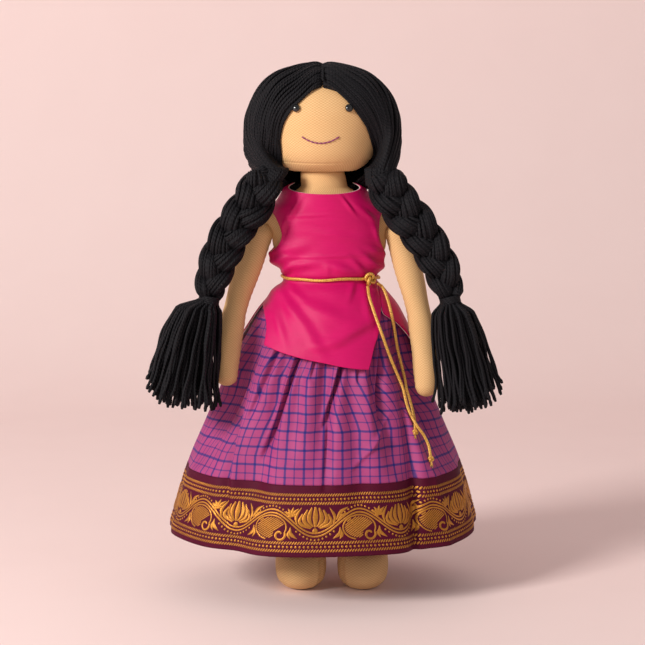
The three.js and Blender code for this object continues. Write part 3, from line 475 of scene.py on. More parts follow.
def braid_radius(steps, length):
    """Radius over the cord: its own, plus the product of two waves that spiral opposite ways."""
    down = np.linspace(0.0, length, steps)[:, None]
    turn = np.linspace(0.0, 2 * np.pi, CORD_SIDES, endpoint=False)[None]
    relief = np.sin(2 * turn + 2.6 * down) * np.sin(2 * turn - 2.6 * down)
    return (CORD_RADIUS * (0.97 + 0.07 * relief))[None]


def knot_path(middle, size, turned):
    """A trefoil: the path goes twice round its middle and passes three times over and under."""
    t = np.linspace(0.0, 2 * np.pi, 72, endpoint=False)
    reach = 2 + np.cos(3 * t)
    flat = np.stack([reach * np.cos(2 * t), np.sin(3 * t) * 1.15, reach * np.sin(2 * t)], axis=-1)
    cosine, sine = np.cos(turned), np.sin(turned)
    spin = np.array([[cosine, -sine, 0], [sine, cosine, 0], [0, 0, 1]])
    return np.asarray(middle) + flat @ spin.T * size


def add_tail(word, points):
    """One free end of the cord: its braid, the knot near its tip and the threads that fray."""
    path = route(points, 320)
    length = length_of(path)
    onward = unit(path[-1] - path[-2])
    tail = tubes(f"gold_tail_{word}", path[None], braid_radius(320, length), CORD_SIDES)
    dress(tail, gold_cord, "torso", "gold_cord", f"cord_tail_{word}")
    middle = path[-1] + onward * 2.4
    loop = knot_path(middle, 0.66, 0.6)
    knot = wind(f"gold_end_knot_{word}", loop, 0.85, 10, reference=unit(loop - middle))
    dress(knot, gold_cord, "torso", "gold_cord", f"{word}_tail_knot")
    threads = np.linspace(0.0, 1.0, 8)[None, :, None]
    spread = rng.normal(0.0, 1.0, (14, 1, 3)) * (0.32 + 0.5 * threads)
    fray_paths = middle + (spread + onward * (1.2 + threads * 4.2))
    fray = tubes(f"gold_fray_{word}", fray_paths, 0.16, 4)
    dress(fray, gold_cord, "torso", "gold_cord")
    print(f"{word} tail is {length:.0f} mm long")


add_tail("inner", INNER_TAIL)
add_tail("outer", OUTER_TAIL)

# %% [markdown]
# ## The torso and the tunic's outline
#
# The tunic is a front and a back panel, sewn at the shoulders and at the sides down to the slits.
# Above the cord it follows the chest, and below it stands over the skirt's gathers. Its outline is
# that of the torso plus some ease, so the torso's widths come first.

# %% Widths of the torso and the tunic
BODY_BOTTOM = HIP + 15.5 + 0.3
chest_rise, neck_rise, hip_rise = SHOULDER - WAIST, NECK - SHOULDER, WAIST - HIP
torso_half_width = through([
    (BODY_BOTTOM, 24.0), (BODY_BOTTOM + 8, 30.9), (HIP + 0.35 * hip_rise, 33.9),
    (HIP + 0.65 * hip_rise, 33.0), (WAIST - 8, WAIST_HALF_WIDTH), (WAIST, WAIST_HALF_WIDTH),
    (WAIST + 0.3 * chest_rise, 36.1), (WAIST + 0.7 * chest_rise, 40.45),
    (SHOULDER, CHEST_HALF_WIDTH), (SHOULDER + 0.2 * neck_rise, CHEST_HALF_WIDTH),
    (SHOULDER + 0.5 * neck_rise, 40.45), (SHOULDER + 0.78 * neck_rise, 30.3), (NECK, 18.7),
])
torso_half_depth = through([
    (BODY_BOTTOM, 16.0), (BODY_BOTTOM + 8, 21.5), (HIP + 0.4 * hip_rise, 22.55),
    (WAIST - 8, WAIST_HALF_DEPTH), (WAIST, WAIST_HALF_DEPTH),
    (WAIST + 0.6 * chest_rise, CHEST_HALF_DEPTH), (SHOULDER + 0.4 * neck_rise, 19.4),
    (NECK, 17.2),
])
TUNIC_CLOTH, TUNIC_LAYERS, TUNIC_TOP = 0.8, 1.7, NECK + 3


def tunic_rows(torso, waist, hem):
    """Half sizes of the tunic at its heights: over the skirt below the cord, over the chest
    above it."""
    rows = [
        (SKIRT_TOP - share * SKIRT_FALL, skirt_half(share, waist, hem) + 2.4 + TUNIC_LAYERS)
        for share in (0.36, 0.27, 0.2, 0.146, 0.1, 0.07, 0.04)
    ]
    tied = torso(WAIST) + BAND_WALL + 0.8 + TUNIC_LAYERS
    rows += [(WAIST - 4, tied + 0.8), (WAIST, tied), (WAIST + 3, tied + 0.6)]
    least = float(torso(WAIST + 0.2 * chest_rise))
    for share in (0.12, 0.25, 0.42, 0.6, 0.75, 0.88, 1.0):
        z = WAIST + share * (TUNIC_TOP - WAIST)
        rows.append((z, max(float(torso(z)), least) + 3 + TUNIC_LAYERS))
    return rows


tunic_half_depth = through(tunic_rows(torso_half_depth, WAIST_HALF_DEPTH, HEM_HALF_DEPTH))
wide_rows = tunic_rows(torso_half_width, WAIST_HALF_WIDTH, HEM_HALF_WIDTH)
# the shoulders slope in to the neck, so the rows above them are the tunic's own
wide_rows = [row for row in wide_rows if row[0] < SHOULDER + 0.3 * neck_rise] + [
    (SHOULDER + 0.56 * neck_rise, 44.5), (NECK - 10, 38.4), (NECK - 4, 34.2), (NECK, 30.6),
    (TUNIC_TOP, 24.0),
]
tunic_half_width = through(wide_rows)
print("the tunic is", round(2 * float(tunic_half_width(WAIST))), "mm wide at the waist")


# %% The turn of cord round the waist, and its knot
def at_right(turn):
    """1 at the doll's right side seam, falling to 0 before the front and the back."""
    return np.exp((np.cos(turn + np.pi / 2) - 1) / 0.22)


CORD_EASE, KNOT_ANGLE = 1.7, np.radians(47.0)
turn = np.linspace(0.0, 2 * np.pi, 220, endpoint=False)
cord_width, cord_depth = tunic_half_width(WAIST) + CORD_EASE, tunic_half_depth(WAIST) + CORD_EASE
slack = 2.3 * at_right(turn)
belt_path = np.stack([
    lean(WAIST) + (cord_width + slack) * np.sin(turn), -(cord_depth + slack) * np.cos(turn),
    WAIST + 0.5 * np.sin(3 * turn) + 0.3 * np.sin(7 * turn),
], axis=-1)
belt = wind("gold_belt", belt_path, braid_radius(220, length_of(belt_path)), CORD_SIDES)
dress(belt, gold_cord, "torso", "gold_cord", "waist_cord")

knot_out = 2 * CORD_RADIUS + 1.04
knot_middle = np.array([
    lean(WAIST) + (cord_width + knot_out) * np.sin(KNOT_ANGLE),
    -(cord_depth + knot_out) * np.cos(KNOT_ANGLE), WAIST,
])
belt_loop = knot_path(knot_middle, 1.5, KNOT_ANGLE)
belt_knot = wind("gold_belt_knot", belt_loop, 1.3, 12, reference=unit(belt_loop - knot_middle))
dress(belt_knot, gold_cord, "torso", "gold_cord", "waist_cord_knot")
print("the cord goes", round(length_of(belt_path)), "mm round the waist")

# %% [markdown]
# ## Silk for the tunic
#
# The tunic is thin silk with slubs across its weave, so it shines softly along its creases. Real
# creases are in the mesh, because they catch the light from any side. The weave, the slubs and the
# faint crumple between the creases stand up by less than half a millimetre, so they are bump.

# %% Pink silk and pale lining
silk = Paint("silk", specular_ior_level=0.26)
across, down = silk.cloth()
spot = silk.places()
slub = silk.noise(silk.drawn_out(spot, (0.09, 0.09, 2.2)), 1.0, 3.0)
weave = across.wave(0.55) * down.wave(0.55)
cloudy = silk.noise(spot, 0.035, 3.0)
crumple = silk.noise(silk.drawn_out(spot, (0.07, 0.07, 0.17)), 1.0, 2.5)
silk.feed(
    base_color=silk.mix(cloudy * 0.5 + slub * 0.4, colour(182, 0, 80), colour(214, 4, 106)),
    roughness=slub * 0.2 + 0.36,
    normal=silk.bump(slub * 0.12 + weave * 0.04 + crumple * 0.65, 0.7, 0.7),
)
lining_paint = Paint("lining", roughness=0.85, sheen_weight=0.2)
across, down = lining_paint.cloth()
lining_tone = lining_paint.noise(lining_paint.places(), 0.2)
lining_paint.feed(
    base_color=lining_paint.mix(lining_tone, colour(238, 206, 206), colour(248, 226, 224)),
    normal=lining_paint.bump(across.wave(0.7) * down.wave(0.7), 0.1, 0.5),
)

# %% [markdown]
# ## The tunic's panels
#
# Each panel is one sheet. Its side edges are angles round the body: they run down the side seam,
# cut in for the armhole, and part at the slit. The hem slants down towards the doll's left, as the
# front was pulled when the cord was tied. Creases fan out from the cord and hang in the chest, and
# at the doll's right the silk puffs out above and below the cord.

# %% Cut the panels
SEAM = 89.5
armhole = through([
    (SHOULDER - 14.5, SEAM), (SHOULDER - 12, 74), (SHOULDER - 5, 62), (SHOULDER + 8, 60),
    (SHOULDER + 17, 68), (SHOULDER + 22, SEAM),
])


def slit(rows):
    """Edge angle under the waist, from (drop, angle) pairs up to the closed seam."""
    return through([(WAIST - drop, angle) for drop, angle in rows] + [(WAIST - 2, SEAM)])


front_right = slit([(62, 41), (50, 44), (35, 51), (25, 66), (18, SEAM)])
front_left = slit([(66, 25.3), (50, 31.5), (40, 37.5), (25, 45.5), (10, 62)])
back_right = slit([(62, 96), (30, 92), (18, SEAM)])
back_left = slit([(66, 80), (50, 75), (35, 62), (25, 48), (10, 62.6)])


def panel_angle(share, z, front):
    """Angle from the front, in degrees, at a share of the way from a panel's one edge to the
    other. The front's armholes are scooped out further, and its right one more than its left."""
    above = z > WAIST
    if front:
        scoop = hump(z, SHOULDER + 1, 11) * smooth_step(SHOULDER - 14, SHOULDER - 7, z)
        right = np.minimum(np.where(above, armhole(z) - 8 * scoop, front_right(z)), SEAM)
        left = np.minimum(np.where(above, armhole(z) - 4 * scoop, front_left(z)), SEAM)
        return (2 * share - 1) * np.where(share < 0.5, right, left)
    start = np.where(above, 180 - armhole(z), back_left(z))
    end = np.where(above, 180 + armhole(z), 360 - back_right(z))
    least = np.where(z > WAIST - 3, 180 - SEAM, start + 0.4)
    start, end = np.maximum(start, least), np.minimum(end, 180 + SEAM)
    return start + (end - start) * share


# creases: a point x and z on each, its slant in degrees, half width, reach and height
FRONT_CREASES = [
    (-31, 264, 30, 3.6, 11, 1.5), (-25, 274, 14, 4.0, 12, 1.0), (-27, 256, 50, 2.4, 6, 1.0),
    (-14, 262, 10, 3.4, 12, 0.7), (4, 256, 96, 2.4, 5, 0.3), (16, 258, 160, 3.6, 12, 0.8),
    (28, 259, 132, 2.8, 8, 0.8), (38, 263, 140, 3.4, 10, 1.3), (42, 271, 160, 3.2, 9, 0.9),
    (0, 268, 2, 1.4, 30, 0.35), (-12, 300, 3, 1.2, 18, 0.2), (-30, 241, 118, 2.8, 8, 1.0),
    (-22, 240, 140, 3.2, 9, 0.8), (-24, 228, 132, 4.2, 16, 1.1), (-34, 216, 108, 3.4, 14, 0.7),
    (22, 242, 74, 2.8, 7, 0.6), (2, 226, 160, 5.0, 18, 0.8), (24, 213, 24, 5.0, 18, 1.2),
    (4, 203, 8, 4.4, 18, 0.7), (34, 232, 100, 3.0, 12, 0.8), (-8, 206, 126, 4.4, 14, 0.6),
    (-33, 288, 66, 2.4, 9, 1.0), (44, 284, 116, 2.4, 9, 1.0), (20, 308, 128, 1.5, 8, 0.8),
    (-22, 305, 62, 2.0, 8, 0.7), (36, 300, 140, 2.4, 9, 0.7), (12, 284, 172, 3.6, 18, 0.4),
]
BACK_CREASES = [
    (-20, 257, 60, 2.2, 8, 0.9), (0, 256, 90, 2.0, 7, 0.8), (20, 257, 120, 2.2, 8, 0.9),
    (-10, 242, 100, 2.2, 8, 0.9), (14, 242, 80, 2.2, 8, 0.9), (30, 240, 60, 2.4, 9, 0.9),
    (0, 270, 5, 3.2, 22, 0.5), (-20, 215, 95, 3.0, 16, 0.7), (18, 218, 84, 3.0, 16, 0.7),
    (0, 295, 175, 3.2, 18, 0.5),
]
CREASE_GAIN = 1.9


def creases(x, z, front):
    """Height of the folds in the silk, in mm: soft ridges along slanted lines, each with a
    shallow hollow below it."""
    total = np.zeros_like(x)
    for x0, z0, slant, width, reach, high in FRONT_CREASES if front else BACK_CREASES:
        turn = np.radians(slant)
        along = (x - x0) * np.cos(turn) + (z - z0) * np.sin(turn)
        aside = -(x - x0) * np.sin(turn) + (z - z0) * np.cos(turn)
        ridge = hump(aside, 0.0, width) - 0.55 * hump(aside, -1.5 * width, width)
        total = total + CREASE_GAIN * high * ridge * hump(along, 0.0, reach)
    return total


def panel_points(share, level, front, inset):
    """A panel's surface: an oval whose half sizes follow the height, cut by the edge angles. Share
    is 0 to 1 across the panel and level is the height from the waist before the hem is slanted."""
    across = 2 * share - 1
    near_hem = np.clip((-level - 17) / 45, 0, None)
    near_top = np.clip((level - 50) / (TUNIC_TOP - WAIST - 50), 0, None)
    slant = 0.6 - 8.6 * across + 3.2 * across**2 if front else -2.0 + 0 * across
    dip = (8.0 if front else 4.4) * (1 - across**2)
    z = WAIST + level + slant * near_hem - dip * near_top
    turn = np.radians(panel_angle(share, z, front))
    middle = np.where(z > WAIST, lean(z), skirt_drift(z))
    x = middle + (tunic_half_width(z) - inset) * np.sin(turn)
    y = -(tunic_half_depth(z) - inset) * np.cos(turn)
    near_edge = smooth_step(0.0, 0.06, share) * smooth_step(0.0, 0.06, 1 - share)
    fade = near_edge * smooth_step(0, 3, np.abs(z - WAIST))
    blouse = 2.8 * hump(z, WAIST + 9, 5.5) + 1.5 * hump(z, WAIST - 8, 5)
    blouse = (0.75 + 0.25 * np.sin(5 * turn + 1.0)) * blouse
    puff = 6.0 * hump(z, WAIST + 17, 9) + 3.0 * hump(z, WAIST, 5) + 3.6 * hump(z, WAIST - 10, 5)
    lift = (creases(x, z, front) + blouse) * fade + puff * at_right(turn)
    return np.stack([x + lift * np.sin(turn), y - lift * np.cos(turn), z], axis=-1)


def cloth_map(points):
    """U and V in mm: the mean step across and the mean step down, added up."""
    u = np.linalg.norm(np.diff(points, axis=1), axis=-1).mean(axis=0)
    v = np.linalg.norm(np.diff(points, axis=0), axis=-1).mean(axis=1)
    u, v = np.concatenate([[0], np.cumsum(u)]), np.concatenate([[0], np.cumsum(v)])
    return np.stack(np.meshgrid(u, v), axis=-1)


def add_panel(name, front, inset, thickness, paint, slot, node):
    """One layer of one panel: a sheet given its thickness inwards."""
    share, level = np.meshgrid(np.linspace(0, 1, 111), np.linspace(-62, TUNIC_TOP - WAIST, 171))
    points = panel_points(share, level, front, inset)
    uv = cloth_map(points)
    piece = sheet(name, points, uv=uv)
    thicken(piece, thickness)
    dress(piece, paint, "torso", slot, node)


add_panel("silk_front", True, 0.0, TUNIC_CLOTH, silk, "tunic_pink", "tunic_front")
add_panel("silk_back", False, 0.0, TUNIC_CLOTH, silk, "tunic_pink", "tunic_back")
add_panel("lining_front", True, 1.1, 0.5, lining_paint, "lining", "tunic_front_lining")
add_panel("lining_back", False, 1.1, 0.5, lining_paint, "lining", "tunic_back_lining")

# %% [markdown]
# ## The gathered skirt
#
# The skirt is checked cloth, 725 mm round at the hem, cut in gores that narrow upwards and gathered
# onto the waistband. The seams of the gores and the spare cloth go into the folds, and between the
# folds the threads stay a true distance apart.

# %% The skirt's folds
CLOTH_ROUND = 725.0
# soft folds: angle from the front, depth in mm, half width in degrees, and the shares of the fall
# where each starts and ends
FOLDS = np.array([
    (-28, 9, 6, 0.04, 0.85), (-15, 6, 5, 0.04, 0.66), (0, 8, 5, 0.04, 0.72),
    (15, 5, 5, 0.1, 0.9), (31, 8, 5, 0.06, 0.72), (39, 6, 7, 0.3, 1.8), (-34, 7, 8, 0.45, 1.8),
    (63, 13, 15, 0.12, 0.72), (-63, 13, 15, 0.12, 0.72), (84, 4, 8, 0.5, 1.6),
    (-84, 4, 8, 0.5, 1.6), (112, 7, 8, 0.05, 1.6), (137, 6, 8, 0.05, 1.2),
    (161, 7, 8, 0.05, 1.6), (-172, 5, 8, 0.05, 0.95), (-150, 7, 8, 0.05, 1.6),
    (-127, 6, 8, 0.05, 1.2), (-104, 6, 8, 0.1, 1.6),
])
# laps: angle at the top and the bottom, share of the fall there, depth and half width
TUCKS = np.array([
    (-16, -30, 0.10, 0.64, 9, 1.5), (14, -1.0, 0.14, 0.52, 10, 1.7),
    (2, -0.5, 0.42, 0.76, 3.5, 1.9), (40, 28.5, 0.16, 0.50, 7, 1.7),
    (-6, -9, 0.10, 0.34, 5, 1.6), (20, 19, 0.10, 0.36, 5, 1.6), (-33, -42, 0.08, 0.50, 6, 2.0),
    (58, 66, 0.15, 0.62, 5, 2.2), (112, 113, 0.05, 1.1, 5, 2.2), (137, 140, 0.05, 0.9, 5, 2.2),
    (161, 162, 0.05, 1.1, 5, 2.2), (-172, -174, 0.05, 0.9, 5, 2.2),
    (-150, -151, 0.05, 1.1, 5, 2.2), (-127, -129, 0.05, 0.9, 5, 2.2),
])
# laps that face the other way
TURNED_TUCKS = np.array([
    (-52, -38, 0.25, 0.92, 5, 2.6), (-52, -62, 0.15, 0.62, 4, 2.2), (50, 36, 0.40, 1.1, 6, 3.0),
])
# narrow ridges that stand out, in the same numbers as the laps
RIDGES = np.array([
    (37, 11, 0.47, 0.68, 3.0, 1.5), (-33, -30, 0.15, 0.75, 1.6, 3.0),
    (4, 5, 0.25, 0.75, 1.6, 3.4), (-8, -12, 0.2, 0.7, 1.4, 3.0), (26, 22, 0.2, 0.6, 1.4, 3.0),
    (50, 52, 0.5, 1.2, 1.4, 2.4),
])
print(len(FOLDS), "folds,", len(TUCKS) + len(TURNED_TUCKS), "laps,", len(RIDGES), "ridges")


# %% The skirt's surface
def turned_by(degrees, angle):
    """Signed difference of two angles, between -180 and 180 degrees."""
    return (degrees - angle + 540.0) % 360.0 - 180.0


def crest(aside):
    """A narrow ridge, 1 at its line: e to the minus distance to the power one and a half."""
    return np.exp(-np.abs(aside) ** 1.5)


def lap(aside):
    """A lapped fold, as a depth: the cloth stands out a little before its line, drops behind it
    and comes back."""
    drop = 0.5 * (1 + np.tanh(aside / 0.3)) * np.exp(-np.clip(aside / 1.5, 0, None) ** 2)
    return drop - 0.2 * hump(aside, -0.8, 0.8)


def turned_lap(aside):
    """The same lap, facing the other way."""
    return lap(-aside)


def crease_height(degrees, share, lines, shape):
    """Sum over lines that slant down the cloth: the shape across each, fading at both ends."""
    total = np.zeros_like(degrees)
    for top, bottom, start, end, high, half in lines:
        run = np.clip((share - start) / (end - start), 0.0, 1.0)
        aside = turned_by(degrees, top + (bottom - top) * run) / half
        total = total + high * np.sin(np.pi * run) ** 0.6 * shape(aside)
    return total


def skirt_points(degrees, share, out=0.0):
    """The skirt's surface: an oval at each height, less the folds and the laps, plus the ridges
    and the fine gathers at the top."""
    degrees, share = np.broadcast_arrays(np.asarray(degrees, float), np.asarray(share, float))
    turn = np.radians(degrees)
    fold = np.zeros_like(degrees)
    for angle, deep, half, start, end in FOLDS:
        run = np.clip((share - start) / (end - start), 0.0, 1.0)
        fold = fold + deep * np.sin(np.pi * run) ** 0.7 * hump(turned_by(degrees, angle), 0.0, half)
    gathers = 0.9 * hump(share, 0.08, 0.12) * np.sin(turn * 41 + 1.3 * np.sin(turn * 7))
    laps = crease_height(degrees, share, TUCKS, lap)
    laps = laps + crease_height(degrees, share, TURNED_TUCKS, turned_lap)
    inward = fold + laps - crease_height(degrees, share, RIDGES, crest) - gathers - out
    z = SKIRT_TOP - share * SKIRT_FALL
    ends = 5.0 * hump(turned_by(degrees, 96), 0, 34) + 2.5 * hump(turned_by(degrees, -90), 0, 34)
    sway = (0.6 * np.sin(turn * 5 + 0.6) + ends) * smooth_step(0.5, 1.0, share)
    half_width = skirt_half(share, WAIST_HALF_WIDTH, HEM_HALF_WIDTH) - inward
    half_depth = skirt_half(share, WAIST_HALF_DEPTH, HEM_HALF_DEPTH) - inward
    x, y = skirt_drift(z) + half_width * np.sin(turn), -half_depth * np.cos(turn)
    return np.stack([x, y, z + sway], axis=-1)


# where the spare cloth goes in: angle at the top and the bottom, and how far down it lasts
GATHERS = np.array([
    (-172, -174, 2), (-150, -151, 2), (-127, -129, 2), (-104, -104, 2), (-84, -84, 2),
    (-66, -66, 2), (-52, -34, 2), (-15, -29, 0.64), (-6, -9, 0.34), (14, 0.5, 0.54),
    (40, 28.5, 0.5), (50, 32, 2), (66, 66, 2), (84, 84, 2), (112, 113, 2), (137, 140, 2),
    (161, 162, 2),
])


def thread_count(degrees, share):
    """Millimetres of cloth gone round from the front: the surface's own length, plus the spare
    cloth, which goes in at each fold by a smooth step as wide as the fold."""
    a = skirt_half(share, WAIST_HALF_WIDTH, HEM_HALF_WIDTH)
    b = skirt_half(share, WAIST_HALF_DEPTH, HEM_HALF_DEPTH)
    girth = np.pi * (3 * (a + b) - np.sqrt((3 * a + b) * (a + 3 * b)))
    oval = (a - b) / 4 * np.sin(2 * np.radians(degrees)) * (1 - share**4)
    spare = np.maximum(CLOTH_ROUND - girth, 0.0)
    taken, whole = np.zeros_like(degrees), 0.0
    for top, bottom, end in GATHERS:
        run = np.clip((share - 0.1) / (min(end, 1.1) - 0.1), 0.0, 1.0)
        angle = top + (bottom - top) * run
        weight = np.clip((end - share) / 0.2, 0.0, 1.0)
        step = np.tanh((degrees - angle) / 2.2) + np.tanh(angle / 2.2)
        taken, whole = taken + weight * 0.5 * step, whole + weight
    return girth * degrees / 360.0 + oval + spare * taken / whole


print("spare cloth goes in at", len(GATHERS), "places")

# %% [markdown]
# ## Checked cloth
#
# Where two blue lines cross, both the warp and the weft are blue, so the spot is fuller. In
# between, the ground shows both its magenta and its blue threads as a fine, shot texture.

# %% Check, as distances to the nearest line
CHECK_SPACING, FIRST_WEFT = 14.5, 4.1
check = Paint("check", roughness=0.62, specular_ior_level=0.2)
across, down = check.cloth()
wander = check.noise(check.places(), 0.25) * 0.5


def line_pair(place):
    """1 on the thick lines, 0.8 on the thin ones midway between them."""
    thick = (place + wander).apart(CHECK_SPACING).within(0.9, 0.35)
    thin = (place + CHECK_SPACING / 2 + wander).apart(CHECK_SPACING).within(0.52, 0.25)
    return thick.math("MAXIMUM", thin * 0.8)


warp_blue, weft_blue = line_pair(across), line_pair(down - FIRST_WEFT)
threads = across.wave(0.9) * down.wave(0.9) * 0.5 + 0.5
cloudy = check.noise(check.places(), 0.05, 3.0)
ground = check.mix(threads * 0.35 + cloudy * 0.5, colour(142, 44, 100), colour(184, 82, 134))
either = (warp_blue + weft_blue).math("MINIMUM", 1.0)
one_way = check.mix(either * 0.85, ground, colour(52, 42, 112))
check.feed(
    base_color=check.mix(warp_blue * weft_blue, one_way, colour(24, 34, 112)),
    normal=check.bump(threads, 0.12, 0.45),
)

# %% Hang the skirt
columns = np.concatenate([
    np.arange(-180, -70, 1.25), np.arange(-70, 70, 0.5), np.arange(70, 180.1, 1.25),
])
lines = np.meshgrid(columns, np.linspace(0.0, BORDER_TOP, 105))
skirt_grid = skirt_points(lines[0][:, :-1], lines[1][:, :-1])
steps_down = np.linalg.norm(np.diff(skirt_grid, axis=0), axis=-1).mean(axis=1)
fallen = np.concatenate([[0], np.cumsum(steps_down)])
gone_down = np.broadcast_to(fallen[:, None], lines[0].shape)
skirt_uv = np.stack([thread_count(*lines), gone_down], axis=-1)
skirt = sheet("skirt_check", skirt_grid, around=True, uv=skirt_uv, turned=True)
thicken(skirt, 0.7)
dress(skirt, check, "torso", "skirt_check", "skirt_cloth")
print("cloth in the skirt", round(area_of(skirt_grid) / 100), "cm2, fall", round(fallen[-1]), "mm")

# %% [markdown]
# ## The woven border
#
# The border is a silk strip, 53 mm deep, sewn to the hem. Its gold is an extra metallic weft that
# floats over a maroon ground: twisted lines, rows of dots, and between them a scrolling vine with a
# lotus in each trough and a paisley in each crest. A shader could draw it, but drawn threads keep
# their edge at any distance. So each stroke is a thin ribbon that lies on the cloth, with a raised
# middle, and each motif is a short list of strokes in millimetres that repeats eleven times.

# %% Maroon ground
maroon = Paint("maroon_silk", roughness=0.62, specular_ior_level=0.12)
across, down = maroon.cloth()
rib = across.wave(0.8) * down.wave(0.8) * 0.5 + 0.5
shade = maroon.noise(maroon.places(), 0.06) * 0.6 + rib * 0.4
maroon.feed(
    base_color=maroon.mix(shade, colour(60, 4, 26), colour(92, 12, 44)),
    normal=maroon.bump(rib, 0.1, 0.5),
)

# %% Gold weft
gold = Paint("gold_weft", specular_ior_level=0.4)
across, down = gold.cloth()
float_ribs = (across + down).wave(0.9) * 0.5 + 0.5
# painted reflection and shade: the gold is coloured lighter on its raised floats, in fine sparkles
# and in broad patches, and darker between them, for the way metal thread catches the light
spark = gold.noise(gold.places(), 0.9, 1.0)
reflection_patch = gold.noise(gold.places(), 0.05, 1.0)
painted_gold_reflection = float_ribs * 0.3 + spark * 0.4 + reflection_patch * 0.5
gold.feed(
    base_color=gold.mix(painted_gold_reflection, colour(90, 46, 11), colour(220, 150, 60)),
    metallic=float_ribs * 0.2 + 0.62,
    roughness=spark * 0.25 + 0.3,
    normal=gold.bump(float_ribs, 0.12, 0.6),
)

# %% The border's cloth
BORDER_HEIGHT = 52.8


def border_point(along, height, out=0.0):
    """A place on the border, from mm along the hem and mm above it."""
    return skirt_points(along * 360.0 / CLOTH_ROUND, 1.0 - height / SKIRT_FALL, out)


degrees, share = np.meshgrid(np.linspace(-180, 180, 721)[:-1], np.linspace(BORDER_TOP, 1.0, 50))
border_grid = skirt_points(degrees, share, 0.25)
border_uv = np.meshgrid(np.linspace(0, CLOTH_ROUND, 721), np.linspace(0.0, BORDER_HEIGHT, 50))
border_uv = np.stack(border_uv, axis=-1)
border = sheet("border_silk", border_grid, around=True, uv=border_uv, turned=True)
thicken(border, 0.9)
dress(border, maroon, "torso", "border_brocade", "skirt_border")

# %% Strokes of one motif
PERIOD = 72.5
STEPS = 10
strokes = []


def stroke(points, start, middle, end):
    """Adds one thread: a smooth line through a few places in mm, and its width at three shares."""
    path = route(np.array(points, float), STEPS)
    width = through([(0, start), (0.5, middle), (1, end)])(np.linspace(0, 1, STEPS))
    strokes.append(np.column_stack([path, width]))


def dot(x, y, radius):
    """Adds a round dot: a short stroke whose width follows a circle."""
    t = np.linspace(-1, 1, STEPS)
    width = radius * np.sqrt(np.clip(1.02 - t * t, 0, None))
    strokes.append(np.column_stack([x + radius * t, y + 0 * t, width]))


def ring(x, y, across, up, turn):
    """Places on an oval round x, y, at angles in degrees."""
    turn = np.radians(turn)
    return np.column_stack([x + across * np.cos(turn), y + up * np.sin(turn)])


def vine(x, shift=0.0):
    """Height of the vine's middle: a sine with its trough at the lotus."""
    return 27.8 - 9.5 * np.cos(2 * np.pi * x / PERIOD) + shift


def twisted_line(y, height):
    """A row of short slanted stitches, as a twisted thread shows."""
    for x in np.arange(0, PERIOD - 0.01, PERIOD / 34):
        places = [(x - 0.85, y - height / 2), (x + 0.1, y), (x + 1.05, y + height / 2)]
        stroke(places, 0.3, 0.56, 0.3)


print("one repeat of the pattern is", PERIOD, "mm long")

# %% Twisted lines, dots and the vine
for y in (50.6, 43.9, 11.7, 5.3):
    twisted_line(y, 2.3)
for y in (47.2, 8.5):
    for x in np.arange(0, PERIOD - 0.01, PERIOD / 22):
        dot(x + 1.6, y, 0.95)
for start in range(8):
    xs = np.linspace(start * PERIOD / 8, (start + 1) * PERIOD / 8, 5)
    for shift in (-1.35, 1.35):
        stroke(np.column_stack([xs, vine(xs, shift)]), 0.68, 0.68, 0.68)
for x in np.linspace(-15, 15, 11):
    dot(x % PERIOD, vine(x, -4.2), 0.85)
    dot(PERIOD / 2 + x, vine(PERIOD / 2 + x, 4.1), 0.85)
print(len(strokes), "threads in the lines, the dots and the vine")

# %% The lotus: a ball in the trough and seven petals that close towards the top
dot(0, 21.6, 2.1)
stroke([(0, 24.6), (0, 33.0), (0, 41.2)], 0.7, 2.2, 0.7)
for side in (-1, 1):
    for foot, belly, tip, low, high, wide in (
        (1.4, 5.2, 3.0, 25.0, 40.6, 1.75), (2.6, 9.4, 6.6, 24.4, 38.8, 1.6),
        (3.6, 13.0, 10.4, 23.6, 35.4, 1.35),
    ):
        tall = high - low
        petal = [
            (side * foot, low), (side * belly * 0.86, low + 0.26 * tall),
            (side * belly, low + 0.52 * tall), (side * tip, high),
        ]
        stroke(petal, 0.5, wide, 0.6)
print(len(strokes), "threads with the lotus")

# %% The paisley under the crest: an egg filled with slanted threads, which stop before its curl
EGG_X, EGG_Y, EGG_WIDE, EGG_HIGH = PERIOD / 2 - 0.5, 23.9, 13.4, 9.8
CURL = np.array([8.2, -5.7])
slope, square = np.array([0.82, 0.57]), np.array([0.57, -0.82])


def to_edge(x, y, across, up):
    """How far a line from x, y runs before it meets the egg's inside: the larger root of the
    oval's equation along the line."""
    a, b = EGG_WIDE - 1.5, EGG_HIGH - 1.4
    p, q = (across / a) ** 2 + (up / b) ** 2, x * across / a**2 + y * up / b**2
    r = (x / a) ** 2 + (y / b) ** 2 - 1
    return (-q + np.sqrt(max(q * q - p * r, 0.0))) / p


for start, end in ((255, 190), (190, 120), (120, 50), (50, -25)):
    wall = ring(EGG_X, EGG_Y, EGG_WIDE, EGG_HIGH, np.linspace(start, end, 5))
    stroke(wall, 0.6, 0.62, 0.6)
for aside in np.arange(-9.5, 10.6, 1.45):
    foot = aside * square
    back, far = to_edge(*foot, *-slope), to_edge(*foot, *slope)
    near_curl = (CURL - foot) @ slope
    missed = 5.6**2 - np.sum((foot + near_curl * slope - CURL) ** 2)
    if missed > 0:
        far = min(far, near_curl - np.sqrt(missed))
    if far + back > 1.5:
        ends = [foot - back * slope, foot + (far - back) / 2 * slope, foot + far * slope]
        stroke([(EGG_X + x, EGG_Y + y) for x, y in ends], 0.45, 0.54, 0.45)
for start, end, wide, narrow in ((20, -150, 4.9, 3.6), (-150, -330, 3.6, 1.7)):
    size = np.linspace(wide, narrow, 6)
    curl = ring(EGG_X + CURL[0], EGG_Y + CURL[1], size, size, np.linspace(start, end, 6))
    stroke(curl, 1.0, 0.95, 0.7)
print(len(strokes), "threads with the paisley")

